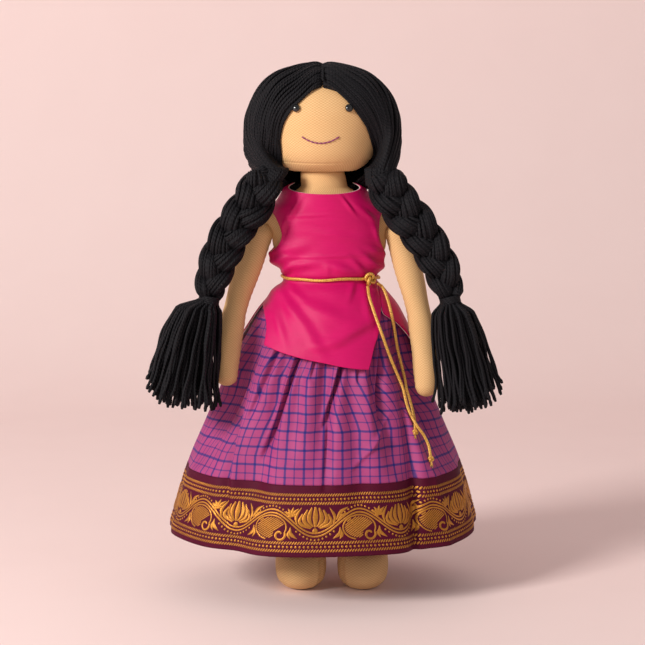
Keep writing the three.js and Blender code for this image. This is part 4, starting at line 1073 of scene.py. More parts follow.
# %% Leaves: one with six lobes above the vine, a curved pair, and sprays beside the paisley
LEAF_X, LEAF_Y = -19.6, 33.4
for x, y, wide in (
    (-6.4, 3.6, 1.2), (-4.4, -0.6, 1.2), (-3.4, 6.2, 1.2), (1.2, 7.4, 1.3), (5.6, 6.2, 1.2),
    (4.6, 1.6, 1.2),
):
    lobe = [(LEAF_X, LEAF_Y), (LEAF_X + x * 0.5, LEAF_Y + y * 0.6), (LEAF_X + x, LEAF_Y + y)]
    stroke(lobe, 0.7, wide, 0.2)
for side in (-1, 1):
    stroke([(14.6 * side, 26.4), (15.8 * side, 33.0), (11.6 * side, 40.6)], 0.4, 1.2, 0.2)
stroke([(17.2, 30.6), (21.0, 37.0), (27.0, 40.6)], 0.5, 1.4, 0.2)
stroke([(18.4, 30.4), (22.8, 34.4), (26.8, 36.0)], 0.4, 1.0, 0.2)
for side in (-1, 1):
    stroke([(20.0 * side, 24.4), (19.6 * side, 19.4), (14.2 * side, 15.1)], 0.4, 1.4, 0.2)
    stroke([(20.4 * side, 22.4), (21.4 * side, 18.4), (19.6 * side, 14.8)], 0.4, 1.2, 0.2)
print(len(strokes), "threads in each repeat")

# %% Lay the threads on the cloth
REPEATS = 11
pattern = np.array(strokes) * CLOTH_ROUND / REPEATS / PERIOD
repeats = (np.arange(REPEATS) - 5) * CLOTH_ROUND / REPEATS - 5.6
x = (pattern[None, :, :, 0] + repeats[:, None, None]).reshape(-1, STEPS)
y, half = (
    np.broadcast_to(pattern[None, :, :, k], (REPEATS, *pattern.shape[:2])).reshape(-1, STEPS)
    for k in (1, 2)
)
run = np.stack([np.gradient(x, axis=1), np.gradient(y, axis=1)], axis=-1)
aside = unit(np.stack([-run[..., 1], run[..., 0]], axis=-1))
lanes = np.array([-1.0, -0.4, 0.4, 1.0])
flat_x = x[..., None] + aside[..., 0, None] * half[..., None] * lanes
flat_y = y[..., None] + aside[..., 1, None] * half[..., None] * lanes
vault = np.broadcast_to(np.sqrt(1 - 0.95 * lanes**2), flat_x.shape)
proud = 0.28 + 0.32 * vault * np.clip(half[..., None] / 0.6, 0.3, 1.3)
rows = border_point(flat_x, flat_y, proud)
index, places = grid_faces(STEPS, len(lanes))
first_corner = (np.arange(len(x)) * STEPS * len(lanes))[:, None, None]
faces = (index[None] + first_corner).reshape(-1, 4)[:, ::-1]
uv = np.stack([flat_x, flat_y], axis=-1)[:, places[..., 0], places[..., 1]]
zari = add_mesh("border_gold", rows, [faces], [uv.reshape(-1, 4, 2)[:, ::-1]])
dress(zari, gold, "torso", "border_brocade")

# %% What the skirt is cut from
for piece in (skirt, border, zari):
    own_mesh(piece)
GORE_SHARE = 0.75
flat = (CLOTH_ROUND * MM, float(fallen[-1]) * MM)
GORE_SHARE * flat[0] * flat[1]
print("the gores take", round(GORE_SHARE * flat[0] * flat[1], 3), "m2 of cloth")

# %% [markdown]
# ## Stuffed body pieces
#
# Head, body, arms and legs are tubes of knitted cloth, sewn shut and stuffed tight. Pieces stuffed
# this tight hold a clean shape, so each is a stack of ovals with rounded ends. What shows that it
# is cloth comes on top: seams drawn in by their stitches, puckers beside them, and the knit.

# %% Knitted cloth
knit = Paint(
    "knit", roughness=0.82, specular_ior_level=0.25, sheen_weight=0.12, sheen_roughness=0.5,
    sheen_tint=colour(255, 226, 180),
)
across, down = knit.cloth()
stitches = across.wave(2.6) * down.wave(2.0) * 0.5 + 0.5
cloudy = knit.noise(knit.places(), 0.04, 3.0)
fuzz = knit.noise(knit.places(), 2.6, 2.0)
yarn_tone = knit.mix(cloudy * 0.5 + fuzz * 0.4, colour(221, 180, 124), colour(238, 206, 154))
knit.feed(
    base_color=knit.mix(stitches * 0.6, yarn_tone, colour(190, 120, 62)),
    normal=knit.bump(fuzz * 0.3 - stitches * 0.7, 0.35, 0.6),
)


# %% A stack of ovals
def oval_stack(rows, around=96, pucker=None):
    """Level ovals from rows of (x, y, z, half width, half depth), front first and then towards +X.
    Pucker, if given, maps (angle, height) to how far the surface stands out, in mm."""
    rows = np.asarray(rows, float)
    turn = np.linspace(0, 2 * np.pi, around, endpoint=False)[None, :]
    x, y, z, half_width, half_depth = (rows[:, k, None] for k in range(5))
    out = 0.0 if pucker is None else pucker(turn, z)
    px = x + (half_width + out) * np.sin(turn)
    py = y - (half_depth + out) * np.cos(turn)
    return np.stack([px, py, np.broadcast_to(z, px.shape)], axis=-1)


def stuffed(name, rows, body, node, pucker=None, around=96):
    """A closed stuffed piece, its ends shut by a small face."""
    rows = np.asarray(rows, float)
    rising = rows[-1, 2] > rows[0, 2]
    steps = np.linalg.norm(np.diff(rows[:, :3], axis=0), axis=1)
    run = np.concatenate([[0], np.cumsum(steps)])
    girth = 2 * np.pi * float(np.median(rows[:, 3]))
    uv = np.stack(np.meshgrid(np.linspace(0, girth, around + 1), run), axis=-1)
    points = oval_stack(rows, around, pucker)
    piece = sheet(name, points, around=True, uv=uv, capped=True, turned=not rising)
    dress(piece, knit, body, "doll_skin", node)


# %% Torso and neck
heights = np.linspace(BODY_BOTTOM + 0.01, NECK, 120)
rows = [(lean(z), 0, z, torso_half_width(z), torso_half_depth(z)) for z in heights]
for angle in np.radians(np.linspace(60, 3, 16)):
    z = NECK + NECK_BALL * np.cos(angle)
    radius = min(NECK_BALL * np.sin(angle), NECK_RADIUS)
    rows.append((lean(z), 0, z, radius, radius))
rows.insert(0, (rows[0][0], 0, BODY_BOTTOM - 0.4, 6.0, 4.0))
NECK_SEAM, LEFT_SIDE, RIGHT_SIDE = 327, np.pi / 2, 3 * np.pi / 2
# the body swells towards the arm where the two are sewn together
under_arm = through([
    (0, 0), (258, 0), (266, 1.5), (272, 4.6), (278, 3.8), (283, 2.2), (288, 3.4), (293, 6.8),
    (298, 8.0), (303, 5.0), (310, 0), (400, 0),
])


def torso_pucker(turn, z):
    """Two soft rings round the neck, the swell at the arms, and the dent of the side seams."""
    side_seam = -0.7 * (hump(turn, LEFT_SIDE, 0.05) + hump(turn, RIGHT_SIDE, 0.05))
    sewn = under_arm(z) * (hump(turn, RIGHT_SIDE, 0.36) + 0.8 * hump(turn, LEFT_SIDE, 0.36))
    rings = -0.5 * hump(z, NECK_SEAM, 1.4) + 0.35 * hump(z, 323.5, 2.2)
    return side_seam + sewn + rings + 0.15 * np.sin(turn * 9 + z) * hump(z, NECK_SEAM, 4)


stuffed("torso_knit", rows, "torso", "torso_skin", torso_pucker)

# %% Arms
ARM_RADIUS, TIP_ROUND, ARM_FORWARD = 11, 8.8, 30


def arm_rows(side, drop, reach_side):
    """A round shoulder end, a gentle swell to the wrist and a mitten tip. The middle line leans
    outwards by a sine and forwards by a power of the share that it has dropped."""
    pivot_x = lean(SHOULDER) + side * (CHEST_HALF_WIDTH + 11.5)
    width = through([(0, 1), (0.25, 1), (0.5, 0.9), (0.72, 0.93), (0.88, 0.95), (1, 0.8)])
    rows = []
    for angle in np.radians(np.linspace(4, 80, 12)):
        size = ARM_RADIUS * np.sin(angle)
        rows.append((pivot_x, 0, SHOULDER + ARM_RADIUS * np.cos(angle), size, size))
    for share in np.linspace(0, 1, 70):
        size = ARM_RADIUS * width(share)
        x = pivot_x + side * reach_side * np.sin(share * np.pi / 2)
        z = SHOULDER - (drop - TIP_ROUND) * share
        rows.append((x, -ARM_FORWARD * share**1.2, z, size, 0.86 * size + 1.54 * (1 - share)))
    x, y, z, a, b = rows[-1]
    for angle in np.radians(np.linspace(8, 87, 14)):
        low = z - TIP_ROUND * np.sin(angle)
        rows.append((x, y, low, a * np.cos(angle), b * np.cos(angle)))
    return rows


def arm_pucker(side):
    """The seam down the inner arm, the small pulls of its stitches, and a soft dent at the
    elbow."""
    inner = RIGHT_SIDE if side > 0 else LEFT_SIDE

    def out(turn, z):
        seam = -0.8 * hump(turn, inner, 0.09) + 0.25 * np.sin(z * 1.3) * hump(turn, inner, 0.35)
        elbow = -0.5 * hump(z, SHOULDER - 62, 5) * hump(turn, inner, 0.9)
        return seam + elbow + 0.3 * np.sin(z / 7.0 + turn * 2)

    return out


for word, side, drop, reach_side in (("right", -1, 116.5, 26), ("left", 1, 125, 21.5)):
    rows = arm_rows(side, drop, reach_side)
    stuffed(f"{word}_arm_knit", rows, f"{word}_arm", f"{word}_arm_skin", arm_pucker(side))

# %% Legs
LEG_APART, LEG_RADIUS, HIP_RADIUS, SOLE_WIDE, FOOT_LONG, FOOT_HIGH = 25, 16.5, 15.5, 20.5, 27.0, 34
foot_width = through([
    (0, 0.54), (0.03, 0.66), (0.07, 0.75), (0.22, 0.925), (0.48, 1.0), (0.78, 0.975),
    (1.0, 0.905), (1.5, 0.8),
])
foot_length = through([
    (0, 0.66), (0.03, 0.76), (0.07, 0.835), (0.22, 0.965), (0.45, 1.0), (0.78, 0.865),
    (1.0, 0.625), (1.5, 0.58),
])


def leg_rows(side):
    """A round hip end, a straight leg, and a foot that swells forward over a flat sole."""
    x = lean(HIP) + side * LEG_APART
    rows = [
        (x, 0, HIP + HIP_RADIUS * np.cos(a), LEG_RADIUS * np.sin(a), HIP_RADIUS * np.sin(a))
        for a in np.radians(np.linspace(4, 90, 12))
    ]
    for z in np.linspace(150, 52, 24):
        rows.append((x, 0, z, LEG_RADIUS - 0.8 * smooth_step(110, 50, z), HIP_RADIUS))
    for share in np.concatenate([np.linspace(1.45, 0.2, 30), np.linspace(0.18, 0.0, 14)]):
        long = FOOT_LONG * foot_length(share)
        y = LEG_RADIUS * (0.6 + 0.4 * foot_length(share)) - long
        rows.append((x, y, FOOT_HIGH * share, SOLE_WIDE * foot_width(share), long))
    return rows


def foot_pucker(side):
    """The seam down the inner side of the foot and the edge seam round the sole."""
    middle = 2 * np.pi - 0.95 if side > 0 else 0.95

    def out(turn, z):
        front = hump(turn, middle, 0.1) - 0.6 * hump(turn, middle + side * 0.24, 0.12)
        pulls = 0.3 * hump(turn, middle, 0.3) * np.sin(z * 1.7)
        sole = -0.25 * hump(z, 3.2, 0.8) + 0.12 * np.sin(turn * 24) * hump(z, 3.2, 2.5)
        return -2.2 * front * hump(z, 20, 18) + pulls + sole

    return out


for word, side in (("right", -1), ("left", 1)):
    rows = leg_rows(side)
    stuffed(f"{word}_leg_knit", rows, f"{word}_leg", f"{word}_leg_skin", foot_pucker(side))

# %% [markdown]
# ## Head and face
#
# The head is a ball pressed flat at the chin. Its outline follows a power curve: power 2 is a
# circle, and the larger power under the middle fills the cheeks. A seam runs across under the chin.
# The face has only two bead eyes and a smile in backstitch.

# %% The head's surface
CHIN_SHARE = -0.967
CHEEK_POWER, CROWN_POWER = 3.5, 2.1
head_centre = np.array([0, 0, HEAD_MIDDLE])


def head_scale(share):
    """Width at a height, as a share of the widest: one less the height to a power, rooted."""
    power = np.where(share < 0, CHEEK_POWER, CROWN_POWER)
    return (1 - np.clip(np.abs(share), 0, 1) ** power) ** (1 / power)


def head_reach(direction):
    """How far the head's surface lies from its middle in a direction."""
    power = np.where(direction[..., 2] < 0, CHEEK_POWER, CROWN_POWER)
    across = np.hypot(direction[..., 0] / HEAD_HALF_WIDTH, direction[..., 1] / HEAD_HALF_DEPTH)
    up = np.abs(direction[..., 2]) / HEAD_HALF_HEIGHT
    return (across**power + up**power) ** (-1 / power)


cheek_share = through([
    (CHIN_SHARE, 0.93), (-0.9, 0.87), (-0.82, 0.86), (-0.65, 0.875), (-0.4, 0.88), (0, 0.93),
    (0.3, 0.975), (0.6, 1), (1, 1),
])


def head_half_width(z):
    """Half width of the head: the power curve, drawn in at the cheeks behind the hair."""
    share = np.clip((z - HEAD_MIDDLE) / HEAD_HALF_HEIGHT, -0.9999, 0.9999)
    return HEAD_HALF_WIDTH * head_scale(share) * cheek_share(share)


under = HEAD_MIDDLE + CHIN_SHARE * HEAD_HALF_HEIGHT
rows = [(0, 0, under + 0.5, 19.2, 18.9), (0, 0, under + 0.05, 21.2, 20.4)]
for share in np.concatenate([
    np.linspace(CHIN_SHARE + 0.001, -0.7, 46), np.linspace(-0.68, 0.0, 24),
    np.sin(np.linspace(0.03, 1.545, 40)),
]):
    z = HEAD_MIDDLE + share * HEAD_HALF_HEIGHT
    depth = HEAD_HALF_DEPTH * float(head_scale(share))
    rows.append((0, 0, z, float(head_half_width(z)), depth))


def head_pucker(turn, z):
    """The seam under the chin, drawn in by its stitches, with small pulls on both sides of it."""
    seam = 341.0 + 1.6 * np.sin(turn) ** 2
    pulls = 0.12 * np.sin(turn * 30) * hump(z, seam, 2.6)
    return -0.42 * hump(z, seam, 0.7) + pulls


stuffed("head_knit", rows, "head", "head_skin", head_pucker, around=160)


def face_point(x, above_chin, out):
    """A point on the face at a place across and above the chin, pushed forward."""
    share = (CHIN + above_chin - HEAD_MIDDLE) / HEAD_HALF_HEIGHT
    aside = np.clip(x / head_half_width(CHIN + above_chin), -0.98, 0.98)
    y = -HEAD_HALF_DEPTH * head_scale(share) * np.sqrt(1 - aside**2)
    return np.stack([x, y - out, CHIN + above_chin + 0 * x], axis=-1)


# %% Eyes: glass beads, a little domed
BEAD_RADIUS, BEAD_DOME = 3.1, 2.2
bead = Paint(
    "black_bead", base_color=colour(4, 4, 5), specular_ior_level=0.5, coat_weight=0.5,
    coat_roughness=0.05,
)
bead.feed(roughness=bead.noise(bead.places(), 0.8) * 0.08 + 0.06)
lift, turn = np.meshgrid(
    np.linspace(-1.52, 1.52, 24), np.linspace(0, 2 * np.pi, 32, endpoint=False), indexing="ij"
)
lift, turn = lift[..., None], turn[..., None]
head_sizes = np.array([HEAD_HALF_WIDTH, HEAD_HALF_DEPTH, HEAD_HALF_HEIGHT])
for word, side in (("right", -1), ("left", 1)):
    seat = face_point(np.array(side * 20.0), 50.5, 0.0)
    out = unit((seat - head_centre) / head_sizes**2)
    over = unit(np.cross(out, (0, 0, 1)))
    up = np.cross(over, out)
    ball = np.cos(lift) * (np.cos(turn) * over + np.sin(turn) * up) * BEAD_RADIUS
    ball = ball + np.sin(lift) * out * BEAD_DOME + seat + out * 1.6
    eye = sheet(f"{word}_eye", ball, around=True, capped=True, turned=True)
    dress(eye, bead, "head", "bead_black", f"{word}_eye_bead")

# %% The smile: backstitches that almost meet
smile_thread = Paint("smile_thread", roughness=0.7, sheen_weight=0.2)
around, run = smile_thread.cloth()
twist = (around * 3 + run * 0.9).wave(1.0) * 0.5 + 0.5
smile_thread.feed(base_color=smile_thread.mix(twist, colour(112, 34, 74), colour(158, 66, 112)))
SMILE_HALF, SMILE_ASIDE, SMILE_HEIGHT, SMILE_DIP = 14.5, -1.5, 29, 5
starts = np.linspace(-1, 1, 10)
shares = starts[:-1, None] + (starts[1] - starts[0]) * np.linspace(0.02, 0.98, 12)[None]
height = SMILE_HEIGHT - SMILE_DIP * (1 - shares**2)
bow = np.sin(np.linspace(0, np.pi, 12))[None]
paths = face_point(shares * SMILE_HALF + SMILE_ASIDE, height, 0.15 + 0.5 * bow)
smile = tubes("smile_stitches", paths, 0.62 * (0.6 + 0.4 * bow), 8, reference=(0, 0, 1))
dress(smile, smile_thread, "head", "smile_thread", "smile_stitch")

# %% [markdown]
# ## Yarn
#
# Hair, plaits and tassels are one thing: black wool yarn, four plies twisted together, about 2 mm
# thick. A black shell with a stripe pattern looks like rubber, so each yarn is a tube of its own,
# laid by the hundred as one array. The twist of the plies is bump along the tube, and a sheen gives
# the soft edge that wool has.

# %% Black wool
wool = Paint(
    "black_wool", roughness=0.7, specular_ior_level=0.22, sheen_weight=0.03, sheen_roughness=0.4,
    sheen_tint=colour(150, 150, 165),
)
around, run = wool.cloth()
plies = (around * 3 + run * 0.36).wave(1.0) * 0.5 + 0.5
hairs = wool.noise(wool.places(), 1.4, 2.0)
wool.feed(
    base_color=wool.mix(hairs * 0.6 + plies * 0.4, colour(5, 4, 7), colour(21, 19, 24)),
    normal=wool.bump(plies * 0.8 + hairs * 0.4, 0.45, 0.8),
)

# %% [markdown]
# ## Hair
#
# The yarn is laid over the head and stitched down along the parting. From there it falls to a
# place beside the jaw, where it is bound. Each strand is an arc between two directions from the
# head's middle, which keeps the strands side by side without a comb's worth of points. The yarns
# behind the neck hang lower, so the neck has black on both sides of it.

# %% Where the yarn lies
PARTING_FRONT, PARTING_BACK = np.radians(46.0), np.radians(-131.0)
EDGE_YARN = 2.2
# how thick the yarn lies from the parting to its binding
hair_fullness = through([
    (0, 6.4), (0.2, 6.6), (0.35, 8), (0.5, 8.2), (0.62, 9), (0.8, 11.2), (1, 9.5),
])


def binding_place(side):
    """Where the hair of one side is bound, beside the jaw."""
    return np.array([side * 46.5, -26.0, CHIN - 1])


def nape_sag(front, along):
    """How far the yarns behind the neck hang under the line of the jaw, in mm."""
    return 13.5 * smooth_step(0.45, 0.95, front) * hump(along, 0.52, 0.28)


def hair_points(side, front, along, depth):
    """A point of the hair: an arc from the parting to the binding, lifted off the head by the
    yarn's thickness less a depth. Front is 0 at the forehead and 1 at the nape, and along is 0 at
    the parting."""
    front, along = np.broadcast_arrays(front, along)
    down = np.clip(along, 0, 1)
    angle = PARTING_FRONT + (PARTING_BACK - PARTING_FRONT) * front
    start = np.stack([0 * angle, -np.sin(angle), np.cos(angle)], axis=-1)
    goal = unit(binding_place(side) - head_centre)
    sweep = np.arccos(np.clip(start @ goal, -1, 1))
    share = down * 0.946
    from_start = start * np.sin((1 - share) * sweep)[..., None]
    way = (from_start + goal * np.sin(share * sweep)[..., None]) / np.sin(sweep)[..., None]
    way[..., 0] += side * 0.28 * np.sin(np.pi * down) * (1 - front) ** 2
    way = unit(way)
    edge = 1 - np.abs(2 * front - 1) ** 5
    off_jaw = 1.8 + 3.4 * np.clip(along - 0.75, 0, 0.25) / 0.25
    yarn = EDGE_YARN + (hair_fullness(down) - EDGE_YARN) * edge
    place = way * (head_reach(way) + off_jaw + yarn - depth)[..., None]
    place[..., 0] += side * 0.9 * (1 - down)
    place[..., 2] += HEAD_MIDDLE
    return place


print("the parting runs", round(float(np.degrees(PARTING_FRONT - PARTING_BACK))), "degrees")

# %% The edge of the hair round the face
FACE_EDGES = {
    -1: [
        (1.5, 401.6), (-8, 396.4), (-16.2, 390.4), (-24.2, 382.1), (-30.2, 371), (-32.2, 359.5),
        (-31.5, 349.5), (-31, 341), (-34, 333),
    ],
    1: [
        (1.5, 401.6), (7, 399.6), (12.7, 396.3), (21.9, 387.9), (30.2, 376.4), (35.2, 367.2),
        (39.0, 358), (41.4, 348.8), (41.6, 341), (42, 333),
    ],
}
FOREHEAD_TOP = 400.5


def edge_points(side, along):
    """The front yarn of one side: down the edge of the face, lying on the skin."""
    flat = np.array(FACE_EDGES[side], float)
    lower = np.minimum(flat[:, 1], FOREHEAD_TOP)
    y = [face_point(np.array(x), z - CHIN, 1.6)[1] for x, z in zip(flat[:, 0], lower)]
    path = route(np.column_stack([flat[:, 0], y, flat[:, 1]]), 60)
    share = np.linspace(0, 1, 60)
    return np.stack([np.interp(along, share, path[:, k]) for k in range(3)], axis=-1)


def bundle_point(side, front, depth, level):
    """A place in the bundle beside the jaw: an oval that the yarns go round from the face to the
    nape. On the doll's right it starts narrower and nearer the neck."""
    turn = np.pi * (0.12 + 1.5 * front)
    keep = 1 - depth / 15.0
    half_width = 13.0 - 1.2 * level if side > 0 else 10.8 - 0.6 * level
    half_depth = 12.0 - 2.0 * level
    middle = 45.0 if side > 0 else 36.0 + 9.0 * level**1.5
    x = side * middle - side * half_width * keep * np.cos(turn)
    y = -20.0 - 5 * level - half_depth * keep * np.sin(turn)
    z = 336.5 - 12.5 * level + 0 * turn
    return np.stack(np.broadcast_arrays(x, y, z), axis=-1)


def near_face(front):
    """1 for the yarn at the face's edge, falling to 0 a third of the way back."""
    return np.clip(1 - front / 0.3, 0, 1)[..., None]


def off_parting(along):
    """0 at the parting, rising to 1 where the yarn has settled on the head."""
    return smooth_step(0.0, 0.22, along)[..., None]


def gathered_in(along):
    """0 over the head, rising to 1 where the yarn joins the bundle beside the jaw."""
    return smooth_step(0.82, 0.985, along)[..., None]


edge_length = length_of(edge_points(1, np.linspace(0, 1, 60)))
print("the hair's left edge is", round(edge_length), "mm long")

# %% The paths of one side's yarns
YARN, HAIR_STEPS = 1.15, 46


def hair_paths(side):
    """Three layers of yarn: arcs over the head, drawn to the face's edge at the front, tucked in
    at the parting, and drawn together into the bundle at the jaw."""
    layers = []
    for layer, count in ((0, 66), (1, 62), (2, 40)):
        front = (np.arange(count) + 0.5 + 0.3 * rng.uniform(-1, 1, count)) / count
        depth = YARN + layer * 1.9 + 0.5 * rng.uniform(-1, 1, count)
        layers.append(np.stack([front, depth], axis=-1))
    lot = np.concatenate(layers)
    count = len(lot)
    along = np.linspace(-0.012, 1.0, HAIR_STEPS)
    down = np.clip(along, 0, 1)
    wander = 0.006 * rng.normal(size=(count, 1)) * np.sin(np.linspace(0, 5, HAIR_STEPS))[None]
    front = np.clip(lot[:, :1] + wander * 1.4, 0.0, 1.0)
    weave = np.sin(np.linspace(0, 9, HAIR_STEPS)[None] + rng.uniform(0, 6, (count, 1)))
    depth = lot[:, 1:] + 0.35 * weave
    paths = hair_points(side, front, along[None], depth)
    edge = edge_points(side, down)[None] + np.array([side, 1.0, 0]) * (depth[..., None] - 1.0)
    edge = edge + np.array([side * 22.0, 6.0, 0]) * (front[..., None] / 0.3)
    paths = paths + (edge - paths) * near_face(front) ** 1.6 * off_parting(along)
    dive = smooth_step(0.05, -0.012, along)[None, :, None]
    paths = paths - dive * 1.6 * unit(paths - head_centre)
    bundle = bundle_point(side, front, lot[:, 1:], 0.0)
    paths = paths + (bundle - paths) * gathered_in(along)
    paths[..., 2] -= nape_sag(front, down[None])
    tail = bundle_point(side, front[:, -1:], lot[:, 1:], np.linspace(0.2, 1.0, 6)[None])
    return np.concatenate([paths, tail], axis=1)


def cap_points(side):
    """A black sheet just under the yarns, so that no skin shows between them."""
    along, front = np.meshgrid(
        np.linspace(0, 0.93, 40), np.linspace(0.004, 0.996, 60), indexing="ij"
    )
    shell = hair_points(side, front, along, 3.2)
    shell = shell + (bundle_point(side, front, 5.0, 0.0) - shell) * gathered_in(along)
    shell[..., 2] -= nape_sag(front, along)
    inner = edge_points(side, along) + np.array([side * 4.0, 4.0, 0])
    back = np.clip(front / 0.3, 0, 1)[..., None] ** 0.8
    return inner + (shell - inner) * (1 - (1 - back) * off_parting(along))


print(HAIR_STEPS + 6, "points on the path of each yarn")

# %% Lay the yarn on both sides
for word, side in (("right", -1), ("left", 1)):
    paths = hair_paths(side)
    hair = tubes(f"hair_yarn_{word}", paths, YARN, 6, reference=unit(paths - head_centre))
    dress(hair, wool, "head", "black_yarn", f"hair_{word}")
    cap = sheet(f"hair_cap_{word}", cap_points(side), turned=side > 0)
    thicken(cap, 1.4)
    dress(cap, wool, "head", "black_yarn")

# %% The stitched parting
angle = np.linspace(PARTING_FRONT - 0.04, PARTING_BACK + 0.04, 45)
middle = (angle[:-1] + angle[1:]) / 2
direction = np.stack([0 * middle, -np.sin(middle), np.cos(middle)], axis=-1)
tangent = np.stack([0 * middle, -np.cos(middle), -np.sin(middle)], axis=-1)
seat = direction * (head_reach(direction) + 5.3)[:, None] + head_centre
t = np.linspace(-1, 1, 9)[None, :, None]
slanted = tangent[:, None] * t * 1.7 + np.array([1.0, 0, 0]) * t * 0.9
paths = seat[:, None] + slanted + direction[:, None] * 0.6 * (1 - t * t)
parting = tubes("parting_stitches", paths, 0.75, 6, reference=(1.0, 0.0, 0.0))
dress(parting, wool, "head", "black_yarn", "parting_seam")

# %% [markdown]
# ## Plaits
#
# A three-strand plait is one path repeated: each strand swings from side to side while it passes
# over and under, a third of a turn behind the last one. The strand's height is twice as quick as
# its swing, so that it is on top at every crossing towards the same side. Each strand is a fat
# bundle of yarns that twist slowly round it.

# %% The plait's middle line and its frame
PLAIT_STEPS = [
    (0, 0, 0), (3, -1, -9), (11, -3, -24), (22, -5, -41), (32, -7, -61), (39, -10, -80),
    (42, -13, -97),
]
PLAIT_COUNT, PLAIT_END = 150, 0.975
plait_fullness = through([(0, 0.9), (0.1, 1.04), (0.4, 1.02), (0.8, 0.9), (1, 0.6)])


def plait_frame(side):
    """Points down the middle of a plait, with the directions along, sideways and to its front."""
    start = binding_place(side)
    outward = 1.26 if side > 0 else -1.0
    steps = [start + np.array([outward * out, ahead, down]) for out, ahead, down in PLAIT_STEPS]
    path = route(steps, PLAIT_COUNT)
    path[:, 0] += (2.2 if side < 0 else 0.0) * hump(path[:, 2], start[2] - 20, 12)
    along = unit(np.gradient(path, axis=0))
    sideways = unit(np.cross(np.broadcast_to((0.0, 1.0, 0.0), path.shape), along))
    return path, along, sideways, np.cross(along, sideways)


print("the left plait is", round(length_of(plait_frame(1)[0])), "mm long")

# %% One strand of a plait
TURN_LENGTH, SWING, OVER, STRAND_RADIUS, STRAND_YARNS = 60, 8.8, 6.2, 7.0, 20
strand_share = np.linspace(0.0, PLAIT_END, PLAIT_COUNT)


def along_strand(values):
    """Values of the plait's frame, read at the strand's own shares of its length."""
    share = np.linspace(0, 1, len(values))
    return np.stack([np.interp(strand_share, share, part) for part in values.T], axis=-1)


def strand_yarns(side, index):
    """Yarn paths of one strand. The strand's middle swings by a sine and rises by the sine of
    twice the turn. Its yarns lie on an oval round that middle, turning slowly as they go."""
    path, _, sideways, depth = plait_frame(side)
    length = length_of(path)
    path, sideways, depth = along_strand(path), along_strand(sideways), along_strand(depth)
    full = plait_fullness(strand_share)
    turn = 2 * np.pi * strand_share * length / TURN_LENGTH + 2 * np.pi * index / 3
    over = np.tanh(0.8 * np.sin(2 * turn)) / np.tanh(0.8)
    swing = sideways * (SWING * full * np.sin(turn))[:, None]
    middle = path + swing + depth * (OVER * full * over)[:, None]
    onward = unit(np.gradient(middle, axis=0))
    flat = unit(sideways - onward * np.sum(sideways * onward, axis=-1, keepdims=True))
    high = np.cross(onward, flat)
    swell = full * (0.93 + 0.10 * np.cos(2 * turn))
    lay = np.linspace(0, 2 * np.pi, STRAND_YARNS, endpoint=False)[:, None]
    lay = lay + (strand_share * 2.2)[None] + 0.12 * rng.normal(size=(STRAND_YARNS, 1))
    reach = STRAND_RADIUS * (1 + 0.05 * rng.normal(size=(STRAND_YARNS, 1)))
    close = smooth_step(0.0, 0.05, strand_share) * 0.35 + 0.65
    end = 1 - 0.4 * smooth_step(0.93, PLAIT_END, strand_share)
    wide = (reach * (swell * close * end)[None])[..., None]
    oval = np.cos(lay)[..., None] * flat[None] * 1.12 + np.sin(lay)[..., None] * high[None] * 0.86
    return middle[None] + wide * oval, middle, wide[0, :, 0], flat


print(STRAND_YARNS, "yarns in each strand")

# %% Plait both sides
plait_yarn = 1.26 * plait_fullness(strand_share) ** 0.5
for word, side in (("right", -1), ("left", 1)):
    for index, letter in enumerate("abc"):
        paths, middle, wide, flat = strand_yarns(side, index)
        thick = np.broadcast_to(plait_yarn, paths.shape[:2])
        strand = tubes(f"{word}_plait_yarn_{letter}", paths, thick, 6, reference=flat)
        dress(strand, wool, f"{word}_plait", "black_yarn", f"{word}_plait_strand_{letter}")
        inside = (wide * 0.92)[None]
        core = tubes(f"{word}_plait_core_{letter}", middle[None], inside, 12, reference=flat)
        dress(core, wool, f"{word}_plait", "black_yarn")

# %% [markdown]
# ## Bindings, ties and tassels
#
# The binding beside the jaw and the tie at a plait's end are turns of the same yarn. Below the tie
# the yarns are left loose. Each starts inside the tie, bulges over it, and falls to its own place
# in a fan. The cut ends differ in length, and their plies open a little.

# %% Wound bindings and ties
BINDING_RADIUS, TIE_RADIUS = 6.4, 7.2
for word, side in (("right", -1), ("left", 1)):
    turn = np.linspace(0, 2 * np.pi * 7, 420)
    lift = np.linspace(-1.25, 1.25, 420)
    ball = [np.cos(lift) * np.cos(turn), np.cos(lift) * np.sin(turn), np.sin(lift)]
    ball = BINDING_RADIUS * np.stack(ball, axis=-1)
    paths = (binding_place(side) + ball)[None]
    winding = tubes(f"{word}_binding_yarn", paths, YARN, 6, reference=unit(ball)[None])
    dress(winding, wool, f"{word}_plait", "black_yarn", f"{word}_hair_binding")
    path, along, sideways, depth = plait_frame(side)
    turn = np.linspace(0, 2 * np.pi * 4, 240)[:, None]
    spread = np.linspace(-2.6, 2.6, 240)[:, None] * along[-1]
    out = np.cos(turn) * sideways[-1] + np.sin(turn) * depth[-1]
    band = (path[-1] + spread + TIE_RADIUS * out)[None]
    tie = tubes(f"{word}_tie_yarn", band, YARN, 6, reference=out[None])
    dress(tie, wool, f"{word}_plait", "black_yarn", f"{word}_plait_tie")

# %% The paths of one tassel's yarns
TASSEL_YARNS, TASSEL_LENGTH, GOLDEN_TURN = 118, 86, 2.39996


def per_yarn(low, high):
    """One random number for each yarn, as a column."""
    return rng.uniform(low, high, (TASSEL_YARNS, 1))


